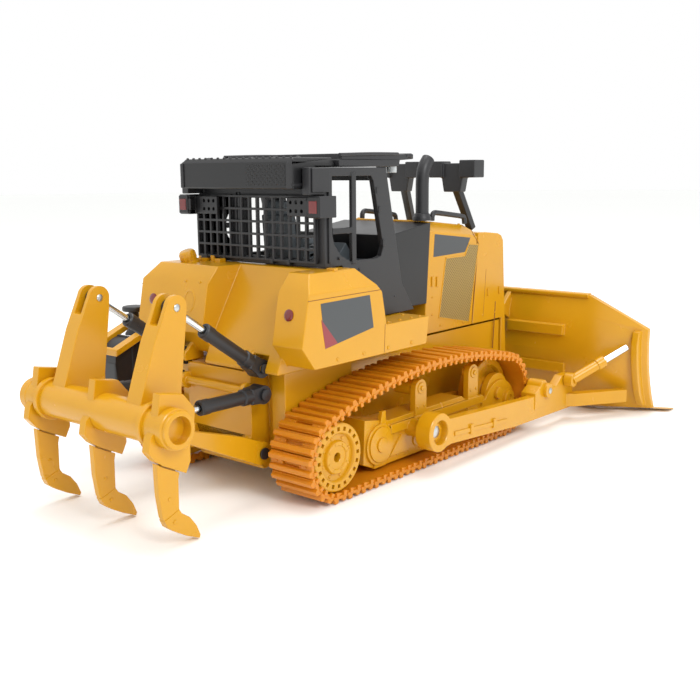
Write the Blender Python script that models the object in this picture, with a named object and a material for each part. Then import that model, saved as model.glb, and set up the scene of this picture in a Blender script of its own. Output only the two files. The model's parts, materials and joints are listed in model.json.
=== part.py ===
"""Toy bulldozer: crawler tractor with a lifting semi-U blade and a three-shank ripper.

The machine's own frame has +X forward to the blade, +Y to its left and +Z up, with z = 0 on the
ground. Sizes below are in millimetres, with x counted from the rear wheel's axle, and MM turns them
to metres. MIDDLE_X is the middle of the whole length, so the origin is under the middle of the toy.
"""

from math import atan2, cos, hypot, pi, radians, sin, sqrt

import bmesh
import bpy
from mathutils import Matrix, Vector

MM = 0.001
GAP = 0.3

# Undercarriage
SHOE_WIDTH = 21.5
TRACK_OUTER = 53.3
TRACK_INNER = TRACK_OUTER - SHOE_WIDTH
TRACK_MIDDLE = TRACK_OUTER - SHOE_WIDTH / 2
REAR_WHEEL = (0.0, 18.2)
FRONT_WHEEL = (125.0, 20.6)
ARCH_TOP = 47.4
SHOES = 43
INNER_POINTS = 90
GROUSER = 1.9
BELT_THICK = 1.8
FRAME_OUTER = 46.0
FRAME_INNER = 34.0

# Body
HULL_HALF = 24.0
POD_HALF = 30.8
HULL_BOTTOM = 9.0
HULL_FRONT = 164.0
DECK = 66.0
FENDER_OUTER = 49.0
FENDER_BOTTOM = 54.0
FENDER_TOP = 90.0
TANK_INNER = 7.0
BOX_INNER = -33.0
HOOD_HALF = 25.0
HOOD_REAR = 97.0
HOOD_FRONT = 165.0
WALL = 1.6

# Cab
CAB_REAR = 11.0
CAB_HALF = 37.0
CAB_FLOOR = 90.3
CAB_TOP = 129.5
ROOF_TOP = 135.0
SKIN = 2.4

# Blade linkage
LIFT_PIVOT = (55.0, 18.0)
ARM_OUTER = 62.0
ARM_INNER = 57.5
BRACE_START = (168.0, -65.4, 22.0)
BRACE_END = (194.6, -82.4, 37.0)
BLADE_KINK = 62.0
BLADE_HALF = 90.0
BLADE_TOP = 63.0
LUG = (184.0, 28.0)
TRUNNION = (175.5, 70.0)
LIFT_SIDE = 9.0

# Ripper
RIPPER_PIVOT = (-14.5, 18.4)
BEAM = (-71.0, 43.0)
BEAM_HALF = 44.0
BEAM_RADIUS = 7.0
SHANK_Y = 36.2
TOWER_Y = 22.6
TOWER_WIDTH = 8.0
TOWER_PIN = (-56.1, 81.3)
TILT_EYE = (-13.6, 52.4)
LOWER_PIN = (-58.0, 43.0)
LIFT_EYE = (-15.5, 42.6)
LIFT_Y = 25.0
ROD_SPARE = 12.0
ARM_LOW = 21.0
ARM_HIGH = 25.6
TAIL_HALF = 18.8

REAR_END = -80.4
FRONT_END = 228.0
MIDDLE_X = (REAR_END + FRONT_END) / 2

ROUND = 24
SMALL_ROUND = 12


# ---------------------------------------------------------------- scene and materials


def clear_scene():
    for thing in list(bpy.data.objects):
        bpy.data.objects.remove(thing, do_unlink=True)


def linear(value):
    return value / 12.92 if value <= 0.04045 else ((value + 0.055) / 1.055) ** 2.4


def material(name, colour, roughness, metallic=0.0):
    made = bpy.data.materials.new(name)
    made.use_nodes = True
    shader = made.node_tree.nodes["Principled BSDF"]
    channels = [int(colour[i : i + 2], 16) / 255 for i in (0, 2, 4)]
    rgba = (*[linear(channel) for channel in channels], 1.0)
    shader.inputs["Base Color"].default_value = rgba
    shader.inputs["Roughness"].default_value = roughness
    shader.inputs["Metallic"].default_value = metallic
    made.diffuse_color = rgba
    return made


clear_scene()

YELLOW = material("yellow_abs", "F2AE1C", 0.32)
TRACK = material("orange_track_rubber", "F59A0E", 0.5)
BLACK = material("black_abs", "2A2A2C", 0.4)
GREY = material("grey_abs", "6E7478", 0.5)
CHROME = material("chrome_rod", "D8DCE0", 0.15, 1.0)
BOARD = material("green_board", "2E6B3A", 0.5)
CELL = material("battery_wrap", "3A4A63", 0.45)

MACHINE = bpy.data.objects.new("machine", None)
bpy.context.scene.collection.objects.link(MACHINE)
MACHINE.location = (-MIDDLE_X * MM, 0.0, 0.0)


def pivot_empty(name, x, z, parent=None):
    """An empty on a joint's axis. Its children turn with it."""
    empty = bpy.data.objects.new(name, None)
    bpy.context.scene.collection.objects.link(empty)
    empty.parent = parent or MACHINE
    base = parent.get("at", (0.0, 0.0, 0.0)) if parent else (0.0, 0.0, 0.0)
    empty.location = ((x - base[0]) * MM, 0.0, (z - base[2]) * MM)
    empty["at"] = (x, 0.0, z)
    return empty


# ---------------------------------------------------------------- shape helpers, in millimetres


def finish(mesh):
    bmesh.ops.recalc_face_normals(mesh, faces=mesh.faces)
    return mesh


def extrude(outline, axis, low, high):
    """A flat outline pushed along one axis. The outline's pairs are the other two axes in order."""
    order = {"x": (1, 2, 0), "y": (0, 2, 1), "z": (0, 1, 2)}[axis]
    mesh = bmesh.new()
    rings = []
    for level in (low, high):
        ring = []
        for a, b in outline:
            point = [0.0, 0.0, 0.0]
            point[order[0]] = a
            point[order[1]] = b
            point[order[2]] = level
            ring.append(mesh.verts.new(point))
        rings.append(ring)
    mesh.faces.new(rings[0])
    mesh.faces.new(rings[1])
    count = len(outline)
    for i in range(count):
        j = (i + 1) % count
        mesh.faces.new((rings[0][i], rings[0][j], rings[1][j], rings[1][i]))
    return finish(mesh)


def block(x0, x1, y0, y1, z0, z1):
    return extrude([(x0, y0), (x1, y0), (x1, y1), (x0, y1)], "z", z0, z1)


def loft(rings):
    """A closed skin through rings that have the same number of points."""
    mesh = bmesh.new()
    made = [[mesh.verts.new(point) for point in ring] for ring in rings]
    mesh.faces.new(made[0])
    mesh.faces.new(made[-1])
    for near, far in zip(made, made[1:]):
        for i in range(len(near)):
            j = (i + 1) % len(near)
            mesh.faces.new((near[i], near[j], far[j], far[i]))
    return finish(mesh)


def arc(x, z, radius, start, end, steps):
    """Points on a circle, from one angle in degrees to another."""
    turn = [radians(start + (end - start) * i / steps) for i in range(steps + 1)]
    return [(x + radius * cos(angle), z + radius * sin(angle)) for angle in turn]


def disc(x, z, radius, y0, y1, steps=ROUND):
    """A cylinder along Y."""
    return extrude(arc(x, z, radius, 0, 360 * (steps - 1) / steps, steps - 1), "y", y0, y1)


def turned(profile, x, z, steps=ROUND):
    """A solid turned round the Y line through (x, z), from (y, radius) pairs whose ends are on it."""
    mesh = bmesh.new()
    inner = profile[1:-1]
    first = mesh.verts.new((x, profile[0][0], z))
    last = mesh.verts.new((x, profile[-1][0], z))
    rings = []
    for i in range(steps):
        angle = 2 * pi * i / steps
        ring = [mesh.verts.new((x + r * cos(angle), y, z + r * sin(angle))) for y, r in inner]
        rings.append(ring)
    for i in range(steps):
        here = rings[i]
        there = rings[(i + 1) % steps]
        mesh.faces.new((first, here[0], there[0]))
        mesh.faces.new((last, there[-1], here[-1]))
        for k in range(len(inner) - 1):
            mesh.faces.new((here[k], here[k + 1], there[k + 1], there[k]))
    return finish(mesh)


def bar(start, end, radius, steps=SMALL_ROUND):
    """A round bar between two points."""
    start = Vector(start)
    end = Vector(end)
    mesh = bmesh.new()
    bmesh.ops.create_cone(
        mesh, cap_ends=True, segments=steps, radius1=radius, radius2=radius, depth=(end - start).length
    )
    turn = (end - start).to_track_quat("Z", "Y").to_matrix().to_4x4()
    bmesh.ops.transform(mesh, matrix=Matrix.Translation((start + end) / 2) @ turn, verts=mesh.verts)
    return finish(mesh)


def pipe(points, radius, steps=8):
    """A round bar that bends at each of its points, with every ring square to the bend."""
    rings = []
    path = [Vector(point) for point in points]
    side = None
    for i, point in enumerate(path):
        along = (path[min(i + 1, len(path) - 1)] - path[max(i - 1, 0)]).normalized()
        if side is None:
            side = along.orthogonal().normalized()
        side = (side - along * side.dot(along)).normalized()
        across = along.cross(side)
        ring = []
        for k in range(steps):
            angle = 2 * pi * k / steps
            ring.append(point + side * (radius * cos(angle)) + across * (radius * sin(angle)))
        rings.append(ring)
    return loft(rings)


def scratch_object(mesh):
    data = bpy.data.meshes.new("scratch")
    mesh.to_mesh(data)
    mesh.free()
    made = bpy.data.objects.new("scratch", data)
    bpy.context.scene.collection.objects.link(made)
    return made


def boolean(base, tools, operation):
    target = scratch_object(base)
    others = [scratch_object(tool) for tool in tools]
    for other in others:
        modifier = target.modifiers.new(operation, "BOOLEAN")
        modifier.operation = operation
        modifier.solver = "EXACT"
        modifier.object = other
    bpy.context.view_layer.update()
    solid = target.evaluated_get(bpy.context.evaluated_depsgraph_get())
    result = bmesh.new()
    result.from_mesh(solid.data)
    for thing in [target, *others]:
        data = thing.data
        bpy.data.objects.remove(thing, do_unlink=True)
        bpy.data.meshes.remove(data)
    bmesh.ops.remove_doubles(result, verts=result.verts, dist=0.002)
    bmesh.ops.dissolve_limit(
        result, angle_limit=radians(0.5), verts=result.verts, edges=result.edges
    )
    return result


def fuse(base, *tools):
    return boolean(base, tools, "UNION")


def cut(base, *tools):
    return boolean(base, tools, "DIFFERENCE")


def mirrored(mesh):
    """The same shape on the other side of the machine."""
    other = mesh.copy()
    bmesh.ops.scale(other, vec=(1, -1, 1), verts=other.verts)
    bmesh.ops.reverse_faces(other, faces=other.faces)
    return other


def put(name, mesh, finish_of, parent=None, smooth=False):
    """Names a solid, turns it to metres and hangs it on its joint's empty, or on the machine."""
    at = Vector(parent["at"]) if parent else Vector((0.0, 0.0, 0.0))
    bmesh.ops.translate(mesh, vec=-at, verts=mesh.verts)
    bmesh.ops.scale(mesh, vec=(MM, MM, MM), verts=mesh.verts)
    data = bpy.data.meshes.new(name)
    mesh.to_mesh(data)
    mesh.free()
    if smooth:
        data.shade_smooth()
        data.set_sharp_from_angle(angle=radians(35))
    data.materials.append(finish_of)
    made = bpy.data.objects.new(name, data)
    made.parent = parent or MACHINE
    bpy.context.scene.collection.objects.link(made)
    return made


def put_pair(name, mesh, finish_of, parents=(None, None), smooth=False):
    """A right-hand solid and its mirrored left-hand twin."""
    put(name + "_left", mirrored(mesh), finish_of, parents[1], smooth)
    put(name + "_right", mesh, finish_of, parents[0], smooth)


# ---------------------------------------------------------------- undercarriage, right side


def belt_line(inset):
    """The belt's outline as arcs and one line, moved in by inset. The upper run is one long arch."""
    rear_x, rear_r = REAR_WHEEL
    front_x, front_r = FRONT_WHEEL
    rear_rise = sqrt(ARCH_TOP - 2 * rear_r)
    front_rise = sqrt(ARCH_TOP - 2 * front_r)
    arch_x = (front_x - rear_x) * rear_rise / (rear_rise + front_rise)
    arch_r = (arch_x / rear_rise) ** 2 / 2 + ARCH_TOP / 2
    arch_z = ARCH_TOP - arch_r
    rear_top = atan2(rear_r - arch_z, rear_x - arch_x)
    front_top = atan2(front_r - arch_z, front_x - arch_x)
    return [
        ("arc", rear_x, rear_r, rear_r - inset, rear_top, 3 * pi / 2),
        ("line", rear_x, inset, front_x, inset, 0.0),
        ("arc", front_x, front_r, front_r - inset, -pi / 2, front_top),
        ("arc", arch_x, arch_z, arch_r - inset, front_top, rear_top),
    ]


def belt_point(pieces, distance):
    """The point and the outward direction at a distance round the belt."""
    for kind, a, b, c, d, e in pieces:
        length = abs(e - d) * c if kind == "arc" else hypot(c - a, d - b)
        if distance > length:
            distance -= length
            continue
        share = distance / length
        if kind == "arc":
            angle = d + (e - d) * share
            return (a + c * cos(angle), b + c * sin(angle)), (cos(angle), sin(angle))
        along = ((c - a) / length, (d - b) / length)
        return (a + (c - a) * share, b + (d - b) * share), (along[1], -along[0])
    return belt_point(pieces, 0.0)


def belt_length(pieces):
    total = 0.0
    for kind, a, b, c, d, e in pieces:
        total += abs(e - d) * c if kind == "arc" else hypot(c - a, d - b)
    return total


def track_belt():
    """A rubber loop of shoes, each with one grouser that stands across its full width."""
    line = belt_line(GROUSER)
    pitch = belt_length(line) / SHOES
    shape = [(0.0, 0.0), (0.2, 0.0), (0.27, GROUSER), (0.87, GROUSER), (0.94, 0.0)]
    outer = []
    for shoe in range(SHOES):
        for share, height in shape:
            (x, z), (nx, nz) = belt_point(line, (shoe + share) * pitch)
            outer.append((x + nx * height, max(0.0, z + nz * height)))
    inner_line = belt_line(GROUSER + BELT_THICK)
    inner_total = belt_length(inner_line)
    inner = [belt_point(inner_line, inner_total * i / INNER_POINTS)[0] for i in range(INNER_POINTS)]
    belt = extrude(outer, "y", -TRACK_OUTER, -TRACK_INNER)
    return cut(belt, extrude(inner, "y", -TRACK_OUTER - 5, -TRACK_INNER + 5))


def drive_sprocket():
    """A dished wheel with a bored hub, on its axle."""
    x, z = REAR_WHEEL
    rim = REAR_WHEEL[1] - GROUSER - BELT_THICK - 2 * GAP
    face = -TRACK_OUTER + 0.8
    profile = [
        (face + 1.2, 0.0),
        (face + 1.2, 5.5),
        (face + 0.2, 6.2),
        (face + 0.2, 7.5),
        (face + 1.5, 8.2),
        (face + 1.5, 11.0),
        (face, 11.6),
        (face, rim - 0.8),
        (face + 0.8, rim),
        (-TRACK_INNER - 1.0, rim),
        (-TRACK_INNER - 1.0, 6.0),
        (-POD_HALF - 0.4, 6.0),
        (-POD_HALF - 0.4, 0.0),
    ]
    wheel = turned(profile, x, z, 32)
    return cut(wheel, disc(x, z, 2.2, face - 2, face + 9, SMALL_ROUND))


def front_idler():
    """The plain front wheel, thicker at its rim and bored for its axle."""
    x, z = FRONT_WHEEL
    rim = FRONT_WHEEL[1] - GROUSER - BELT_THICK - 2 * GAP
    profile = [
        (-FRAME_OUTER + 4.0, 0.0),
        (-FRAME_OUTER + 4.0, 7.0),
        (-FRAME_OUTER + 5.0, rim - 3.0),
        (-FRAME_OUTER + 4.0, rim),
        (-FRAME_INNER - 1.0, rim),
        (-FRAME_INNER - 2.0, rim - 3.0),
        (-FRAME_INNER - 1.0, 7.0),
        (-FRAME_INNER - 1.0, 0.0),
    ]
    wheel = turned(profile, x, z, 32)
    return cut(wheel, disc(x, z, 3.4, -60, 0, SMALL_ROUND))


def track_frame():
    """The beam between the wheels, with its guards, roller row, carriers and idler fork."""
    beam = extrude(
        [(23, 8), (30, 5), (100, 5), (100, 21), (96, 24), (40, 24), (24, 27)],
        "y",
        -FRAME_OUTER,
        -FRAME_INNER,
    )
    shelf = extrude([(40, 18), (112, 18), (112, 22), (40, 22)], "y", -FRAME_OUTER - 1.5, -FRAME_OUTER + 2)
    solids = [shelf]
    for x, inner in ((62.0, -FRAME_INNER), (104.0, -FRAME_OUTER + 3.4)):
        plate = [(x - 4.2, 16), (x + 4.2, 16), *arc(x, 34.0, 4.2, 0, 180, 8)]
        solids.append(extrude(plate, "y", -FRAME_OUTER - 1.0, -FRAME_OUTER + 2.0))
        solids.append(disc(x, 34.0, 3.6, -FRAME_OUTER + 1.0, inner, SMALL_ROUND))
    for side in ((-FRAME_OUTER, -FRAME_OUTER + 3.4), (-FRAME_INNER - 0.2, -FRAME_INNER + 3.0)):
        fork = [
            (96, 8), (120, 8), (137, 14), (137, 20), *arc(127, 20.0, 10.0, 0, 180, 8), (110, 22), (96, 22),
        ]
        solids.append(extrude(fork, "y", *side))
    solids.append(disc(*FRONT_WHEEL, 3.0, -FRAME_OUTER - 3.0, -FRAME_INNER + 2.0, SMALL_ROUND))
    solids.append(disc(33, 15, 9.0, -FRAME_OUTER - 1.2, -FRAME_OUTER + 1.0, 16))
    for x in (42.0, 56.0, 70.0, 84.0):
        solids.append(disc(x, 9.0, 4.6, -FRAME_OUTER + 1.5, -FRAME_INNER - 1.5, 10))
    solids.append(block(44, 92, -FRAME_INNER - 1, -HULL_HALF - GAP, 12, 20))
    solids.append(disc(*LIFT_PIVOT, 4.0, -ARM_OUTER + 2.0, -FRAME_OUTER + 2, SMALL_ROUND))
    return fuse(beam, *solids)


# ---------------------------------------------------------------- body


def both(shape, low, high, axis="y"):
    """The same outline extruded on both sides of the machine."""
    return [extrude(shape, axis, low, high), extrude(shape, axis, -high, -low)]


def chassis_hull():
    """An open-topped tub between the tracks, narrow at the tail, with the ripper's lugs."""
    profile = [
        (-14, 24), (-8, HULL_BOTTOM), (150, HULL_BOTTOM), (HULL_FRONT, 20), (HULL_FRONT, 50), (-14, 50),
    ]
    tub = extrude(profile, "y", -HULL_HALF, HULL_HALF)
    waists = [block(-20, -4, side * TAIL_HALF, side * 30, 0, 60) for side in (-1, 1)]
    hollow = block(-2, 154, -HULL_HALF + 2, HULL_HALF - 2, 14, 60)
    battery_hole = block(36, 100, -16, 16, 0, 20)
    switch_slot = block(106, 118, -2.2, 2.2, 0, 20)
    tub = cut(tub, hollow, battery_hole, switch_slot, *waists)
    pods = both([(-7, 14), (34, 12), (34, 50), (-7, 50)], HULL_HALF - 0.5, POD_HALF)
    lugs = both([(-8, 10), (-6, 30), *arc(*RIPPER_PIVOT, 5.0, 90, 270, 8)], 15.0, TAIL_HALF - GAP)
    lugs += [disc(*RIPPER_PIVOT, 1.7, -ARM_HIGH - 0.2, ARM_HIGH + 0.2, SMALL_ROUND)]
    lugs += [disc(*LIFT_EYE, 1.7, -LIFT_Y - 3.2, LIFT_Y + 3.2, SMALL_ROUND)]
    lugs += both(arc(*LIFT_EYE, 3.6, 0, 330, 11), 17.0, TAIL_HALF + 0.2)
    return fuse(tub, *pods, *lugs)


def front_mount():
    """The post behind the grille, with the trunnion shaft that both lift cylinders hang on."""
    post = extrude([(167.5, 52), (172.4, 60), (178.6, 66), (178.6, 74), (166.4, 78)], "y", -3.6, 3.6)
    shaft = disc(*TRUNNION, 1.6, -LIFT_SIDE + 2.6, LIFT_SIDE - 2.6, SMALL_ROUND)
    return fuse(post, shaft)


def rear_body():
    """Both rear fenders with the fuel tank, the sight-line recess between them, and the side steps."""
    box = [
        (-9, FENDER_BOTTOM), (-16, 63), (-12, 83), (-6, FENDER_TOP), (21, FENDER_TOP),
        (32, 80), (35, DECK), (65, DECK), (63, FENDER_BOTTOM),
    ]
    tank = extrude(box, "y", TANK_INNER, FENDER_OUTER)
    right = extrude(box, "y", -FENDER_OUTER, BOX_INNER)
    recess = [
        (-14, 50.6), (-14, 52), (-8, 65), (7, FENDER_TOP), (21, FENDER_TOP), (32, 80), (35, DECK),
        (64.5, DECK), (62.5, 50.6),
    ]
    middle = extrude(recess, "y", BOX_INNER - 1, TANK_INNER + 1)
    body = fuse(middle, tank, right)
    slope = 5.3 / 7.0
    cuts = []
    for side in (-1, 1):
        edge = [
            (side * (FENDER_OUTER + 4 * slope), 79),
            (side * (FENDER_OUTER - 7 * slope - 4 * slope), 94),
            (side * (FENDER_OUTER + 8), 94),
        ]
        cuts.append(extrude(edge, "x", -20, 33))
    hollow = [(0, 40), (-6, 60), (-6, 80), (26, 80), (33, 63), (60, 63), (60, 40)]
    cuts.append(extrude(hollow, "y", TANK_INNER + 3, FENDER_OUTER - WALL))
    cuts.append(extrude(hollow, "y", -FENDER_OUTER + WALL, BOX_INNER - 2))
    cuts.append(extrude([(-6, 40), (-6, 58), (6, 84), (19, 87), (30, 78), (33, 63), (60, 63), (60, 40)],
                        "y", BOX_INNER + 2, TANK_INNER - 2))
    for side in (-1, 1):
        cuts.append(disc(*TILT_EYE, 5.4, side * TOWER_Y - 4.2, side * TOWER_Y + 4.2, 16))
    body = cut(body, *cuts)
    pins = []
    for side in (-1, 1):
        inner = side * (TOWER_Y - 3.4)
        pins.append(disc(*TILT_EYE, 1.7, *sorted((inner - side * 1.0, side * (TOWER_Y + 3.4))), SMALL_ROUND))
        plate = [(-6, 50.6), (-6, 60), (-12, 58), *arc(*TILT_EYE, 3.2, 110, 215, 5), (-14, 50.6)]
        pins.append(extrude(plate, "y", *sorted((inner, inner - side * 1.8))))
    return fuse(body, *pins)


def hood_ring(x_top, x_low, z_top, z_low, half, chamfer):
    """One upright cross-section of the hood, leaning from its foot to its top."""
    lean = (x_low - x_top) / (z_top - z_low)
    ring = [
        (-half, z_low), (-half, z_top - chamfer), (-half + chamfer, z_top),
        (half - chamfer, z_top), (half, z_top - chamfer), (half, z_low),
    ]
    return [(x_top + lean * (z_top - z), y, z) for y, z in ring]


def hood():
    """The engine cover: a thin shell with chamfered shoulders that falls towards the front."""
    def shell(inset, low):
        half = HOOD_HALF - inset
        return loft([
            hood_ring(HOOD_REAR + 0.5 + inset, HOOD_REAR - 2 + inset, 105 - inset, low, half, 5.0),
            hood_ring(133.5 - inset, 133.5 - inset, 101.3 - inset, low, half, 5.0),
            hood_ring(140.0 - inset, 136.0 - inset, 98.0 - inset, low, half, 3.0),
        ])
    return cut(shell(0.0, 51.0), shell(WALL, 48.0))


def radiator_guard():
    """The nose: side plates and a rounded top that hold the grille, open below and in front."""
    outline = [
        (136.6, 51), (140.8, 97.0), (148, 97.0), (160, 95.8), (163, 94.6), (HOOD_FRONT, 92),
        (HOOD_FRONT + 5, 31), (HOOD_FRONT + 2, 23), (HULL_FRONT + 0.5, 22), (HULL_FRONT + 0.5, 51),
    ]
    inner = [
        (130, 40), (142.4, 95.4), (148, 95.4), (159.5, 94.2), (HOOD_FRONT - 2.4, 91),
        (HOOD_FRONT - 1.4, 80), (190, 80), (190, 40),
    ]
    nose = extrude(outline, "y", -HOOD_HALF, HOOD_HALF)
    front = extrude([(HOOD_FRONT - 1.2, 90), (HOOD_FRONT + 3.8, 15), (190, 15), (190, 90)], "y", -23.6, 23.6)
    return cut(nose, extrude(inner, "y", -HOOD_HALF + WALL, HOOD_HALF - WALL), front)


def radiator_grille():
    """A louvred plate in the nose."""
    lean = 5.0 / 61.0
    def front(z):
        return HOOD_FRONT + (92 - z) * lean
    plate = [(front(89) - 0.9, 89), (front(24) - 0.9, 24), (front(24) + 1.2, 24), (front(89) + 1.2, 89)]
    grille = extrude(plate, "y", -23.2, 23.2)
    slots = []
    for k in range(9):
        z = 29 + k * 6.5
        for side in (-1, 1):
            near, far = sorted((side * 5.0, side * 21.0))
            slots.append(block(front(z) - 3, front(z) + 4, near, far, z, z + 3.6))
    return fuse(cut(grille, *slots), front_mount())


def engine_bay_panel():
    """The black bulkhead between the cab and the hood, with a deck that carries the exhaust."""
    side = [
        (76.8, DECK + GAP), (HOOD_REAR - 2.6, DECK + GAP), (HOOD_REAR + 0.1, 104.2), (74, 101),
        (66.6, 100), (66.6, 79.5),
    ]
    wall = extrude(side, "y", -26.5, 26.5)
    inner = [(79, 50), (HOOD_REAR - 4, 50), (HOOD_REAR - 2, 101.5), (74, 98.5), (68.5, 97.5), (68.5, 80.5)]
    return cut(wall, extrude(inner, "y", -24.7, 24.7))


def cab_outline(inset):
    """The cab seen from the side, moved in by inset."""
    return [
        (CAB_REAR + inset, CAB_FLOOR - inset * 3), (CAB_REAR + inset, CAB_TOP - inset),
        (53.5 - inset, CAB_TOP - inset), (66.0 - inset, 79.0), (76.0 - inset, DECK + GAP - inset * 3),
        (36.0 + inset, DECK + GAP - inset * 3), (33.0 + inset, 80.6 - inset),
        (22.0, CAB_FLOOR + 0.1 - inset * 3),
    ]


def side_taper(rear_half, front_half):
    """Cuts outside the cab's plan, which narrows to the front."""
    cuts = []
    for side in (-1, 1):
        plan = [
            (CAB_REAR - 14, side * rear_half), (80, side * front_half), (80, side * 60),
            (CAB_REAR - 14, side * 60),
        ]
        cuts.append(extrude(plan, "z", 40, 160))
    return cuts


def cab_frame():
    """The cab: posts, sills and lower panels with open windows on all four sides."""
    shell = extrude(cab_outline(0.0), "y", -CAB_HALF - 1, CAB_HALF + 1)
    ears = extrude([(2.0, 119), (2.0, 129.5), (14, 129.5), (14, 119)], "y", -CAB_HALF - 1, CAB_HALF + 1)
    shell = fuse(shell, ears)
    notch = block(0, CAB_REAR, -33.4, 33.4, 110, 140)
    shell = cut(shell, notch, *side_taper(CAB_HALF + 0.6, 32.5))
    room = [
        (CAB_REAR + SKIN, 60), (CAB_REAR + SKIN, CAB_TOP - 2.0), (52.0, CAB_TOP - 2.0), (62.0, 80.0),
        (70.0, DECK + 2), (70.0, 60),
    ]
    hollow = extrude(room, "y", -CAB_HALF + SKIN, CAB_HALF - SKIN)
    hollow = cut(hollow, *side_taper(CAB_HALF - SKIN, 30.2))
    door = [
        (16.2, 103), (16.2, 126), (42.6, 126), (44.4, 124), (51.5, 96), (50, 92.5), (46, 91.6),
        (28, 91.6), (21, 95), (17.2, 99.5),
    ]
    openings = [hollow, extrude(door, "y", -60, 60)]
    for low, high in ((16.0, 33.6), (-31.0, 8.0)):
        openings.append(block(0, CAB_REAR + 5, low, high, 93.5, 117.5))
    screen = [(28.0, 100.5), (28.0, 124), (-28.0, 124), (-28.0, 100.5)]
    openings.append(extrude(screen, "x", 50, 90))
    shell = cut(shell, *openings)
    bars = []
    for side in (-1, 1):
        near, far = sorted((side * (CAB_HALF - 2.6), side * (CAB_HALF - 0.9)))
        bars.append(block(28.6, 31.4, near, far, 90.6, 127.5))
        bars.append(block(14.6, 30.0, near, far, 103.2, 105.6))
    return fuse(shell, *bars)


def lattice(ys, zs, filled, x0, x1):
    """A plate made of grid cells, open where a cell isn't filled."""
    mesh = bmesh.new()
    made = {}
    def vert(x, i, j):
        key = (x, i, j)
        if key not in made:
            made[key] = mesh.verts.new((x, ys[i], zs[j]))
        return made[key]
    def is_filled(i, j):
        return 0 <= i < len(ys) - 1 and 0 <= j < len(zs) - 1 and filled(i, j)
    for i in range(len(ys) - 1):
        for j in range(len(zs) - 1):
            if not is_filled(i, j):
                continue
            for x in (x0, x1):
                corners = ((i, j), (i + 1, j), (i + 1, j + 1), (i, j + 1))
                mesh.faces.new([vert(x, *corner) for corner in corners])
            for di, dj, a, b in ((-1, 0, (i, j), (i, j + 1)), (1, 0, (i + 1, j), (i + 1, j + 1)),
                                 (0, -1, (i, j), (i + 1, j)), (0, 1, (i, j + 1), (i + 1, j + 1))):
                if not is_filled(i + di, j + dj):
                    mesh.faces.new((vert(x0, *a), vert(x0, *b), vert(x1, *b), vert(x1, *a)))
    return finish(mesh)


def bar_edges(low, high, count, width):
    """Cell edges for count bars of one width, spread evenly from low to high."""
    step = (high - low - width) / (count - 1)
    edges = []
    for k in range(count):
        edges += [low + k * step, low + k * step + width]
    return edges


def rear_window_guard():
    """Flat bars in front of both rear windows, joined across the post between them."""
    right = bar_edges(-33.4, 9.0, 10, 1.0)
    left = bar_edges(15.0, 36.4, 6, 1.0)
    ys = right + left
    zs = bar_edges(91.8, 118.6, 6, 1.0)
    bridge = len(right) - 1
    def filled(i, j):
        return i % 2 == 0 or (j % 2 == 0) or i == bridge and j in (0, 10)
    return lattice(ys, zs, filled, CAB_REAR - GAP - 1.6, CAB_REAR - GAP)


def roof_panel():
    """The roof plate, with a raised rail round its edge and a sun visor in front."""
    half = CAB_HALF - 2.4
    plate = block(22.6, 62, -half, half, CAB_TOP + GAP, 132.6)
    rim = block(25, 63.5, -half + 0.6, half - 0.6, 131.6, ROOF_TOP)
    visor = extrude([(60, 132.2), (75, 133.0), (75, 135.2), (60, ROOF_TOP - 0.2)], "y", -half + 2, half - 2)
    pocket = block(29, 58, -half + 4.4, half - 4.4, 133.6, 140)
    return cut(fuse(plate, rim, visor), pocket)


def roof_aircon_box():
    """The air-conditioner housing that hangs over the cab's rear wall."""
    side = [(-2.2, 121.3), (-2.2, 131.4), (-0.6, 133.4), (22.2, 133.4), (22.2, CAB_TOP + GAP),
            (10.6, CAB_TOP + GAP), (10.6, 121.3)]
    box = extrude(side, "y", -32.6, 32.6)
    corner = []
    for side_sign in (-1, 1):
        edge = [(side_sign * 34, 129), (side_sign * 34, 136), (side_sign * 29.5, 136)]
        corner.append(extrude(edge, "x", -6, 30))
    return cut(box, *corner)


def operator_seat():
    """A seat with a headrest and two armrests, on a post that stands on the deck."""
    cushion = block(24, 43, -8, 8, 90.6, 95)
    back = extrude([(22, 91), (27, 91), (25, 110), (20.5, 110)], "y", -8, 8)
    head = extrude([(20.6, 108.5), (24.9, 108.5), (24.2, 116), (20.8, 116)], "y", -5, 5)
    post = block(37, 43, -5, 5, DECK + GAP, 91)
    arms = [block(26, 43, side * 10.5 - 1.8, side * 10.5 + 1.8, 97.5, 100) for side in (-1, 1)]
    props = [block(26, 30, side * 9.2 - 2.4, side * 9.2 + 2.4, 91, 98) for side in (-1, 1)]
    return fuse(cushion, back, head, post, *arms, *props)


def control_console():
    """The instrument pillar in front of the seat, and its side shelf."""
    desk = extrude([(50, 72), (57, 72), (57, 92), (53, 97), (48, 92)], "y", -12, 12)
    shelf = block(44, 56, -28, -16, 72, 90)
    return fuse(desk, shelf, block(48, 56, -17, -11, 74, 84))


def exhaust_stack():
    """A round stack that bends forward at its tip, on a wider collar."""
    x = 98.5
    y = -20.5
    path = [(x, y, 105.4), (x, y, 124), (x + 0.6, y, 128), (x + 2.2, y, 131.2), (x + 4.8, y, 133.6)]
    stack = pipe(path, 3.2, 12)
    return fuse(stack, bar((x, y, 105.4), (x, y, 107.0), 4.2))


def lamp_mast():
    """A post that leans in and back, with a cranked bracket and two work lamps across its top."""
    foot = Vector((144.0, -18.6, 98.6))
    head = Vector((133.4, -16.0, 121.0))
    post = pipe([foot, head], 2.6, 4)
    plate = extrude([(-21.5, 117.5), (-11.5, 117.5), (-9.5, 128), (-11, 131.5), (-22, 131.5), (-23.5, 128)],
                    "x", 129.0, 134.0)
    inner_lamp = block(127.5, 135.5, -11.5, -3.5, 124.5, 132.5)
    outer_lamp = block(127.5, 136.5, -30.5, -21.5, 124.5, 133.0)
    return fuse(post, plate, inner_lamp, outer_lamp)


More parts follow.
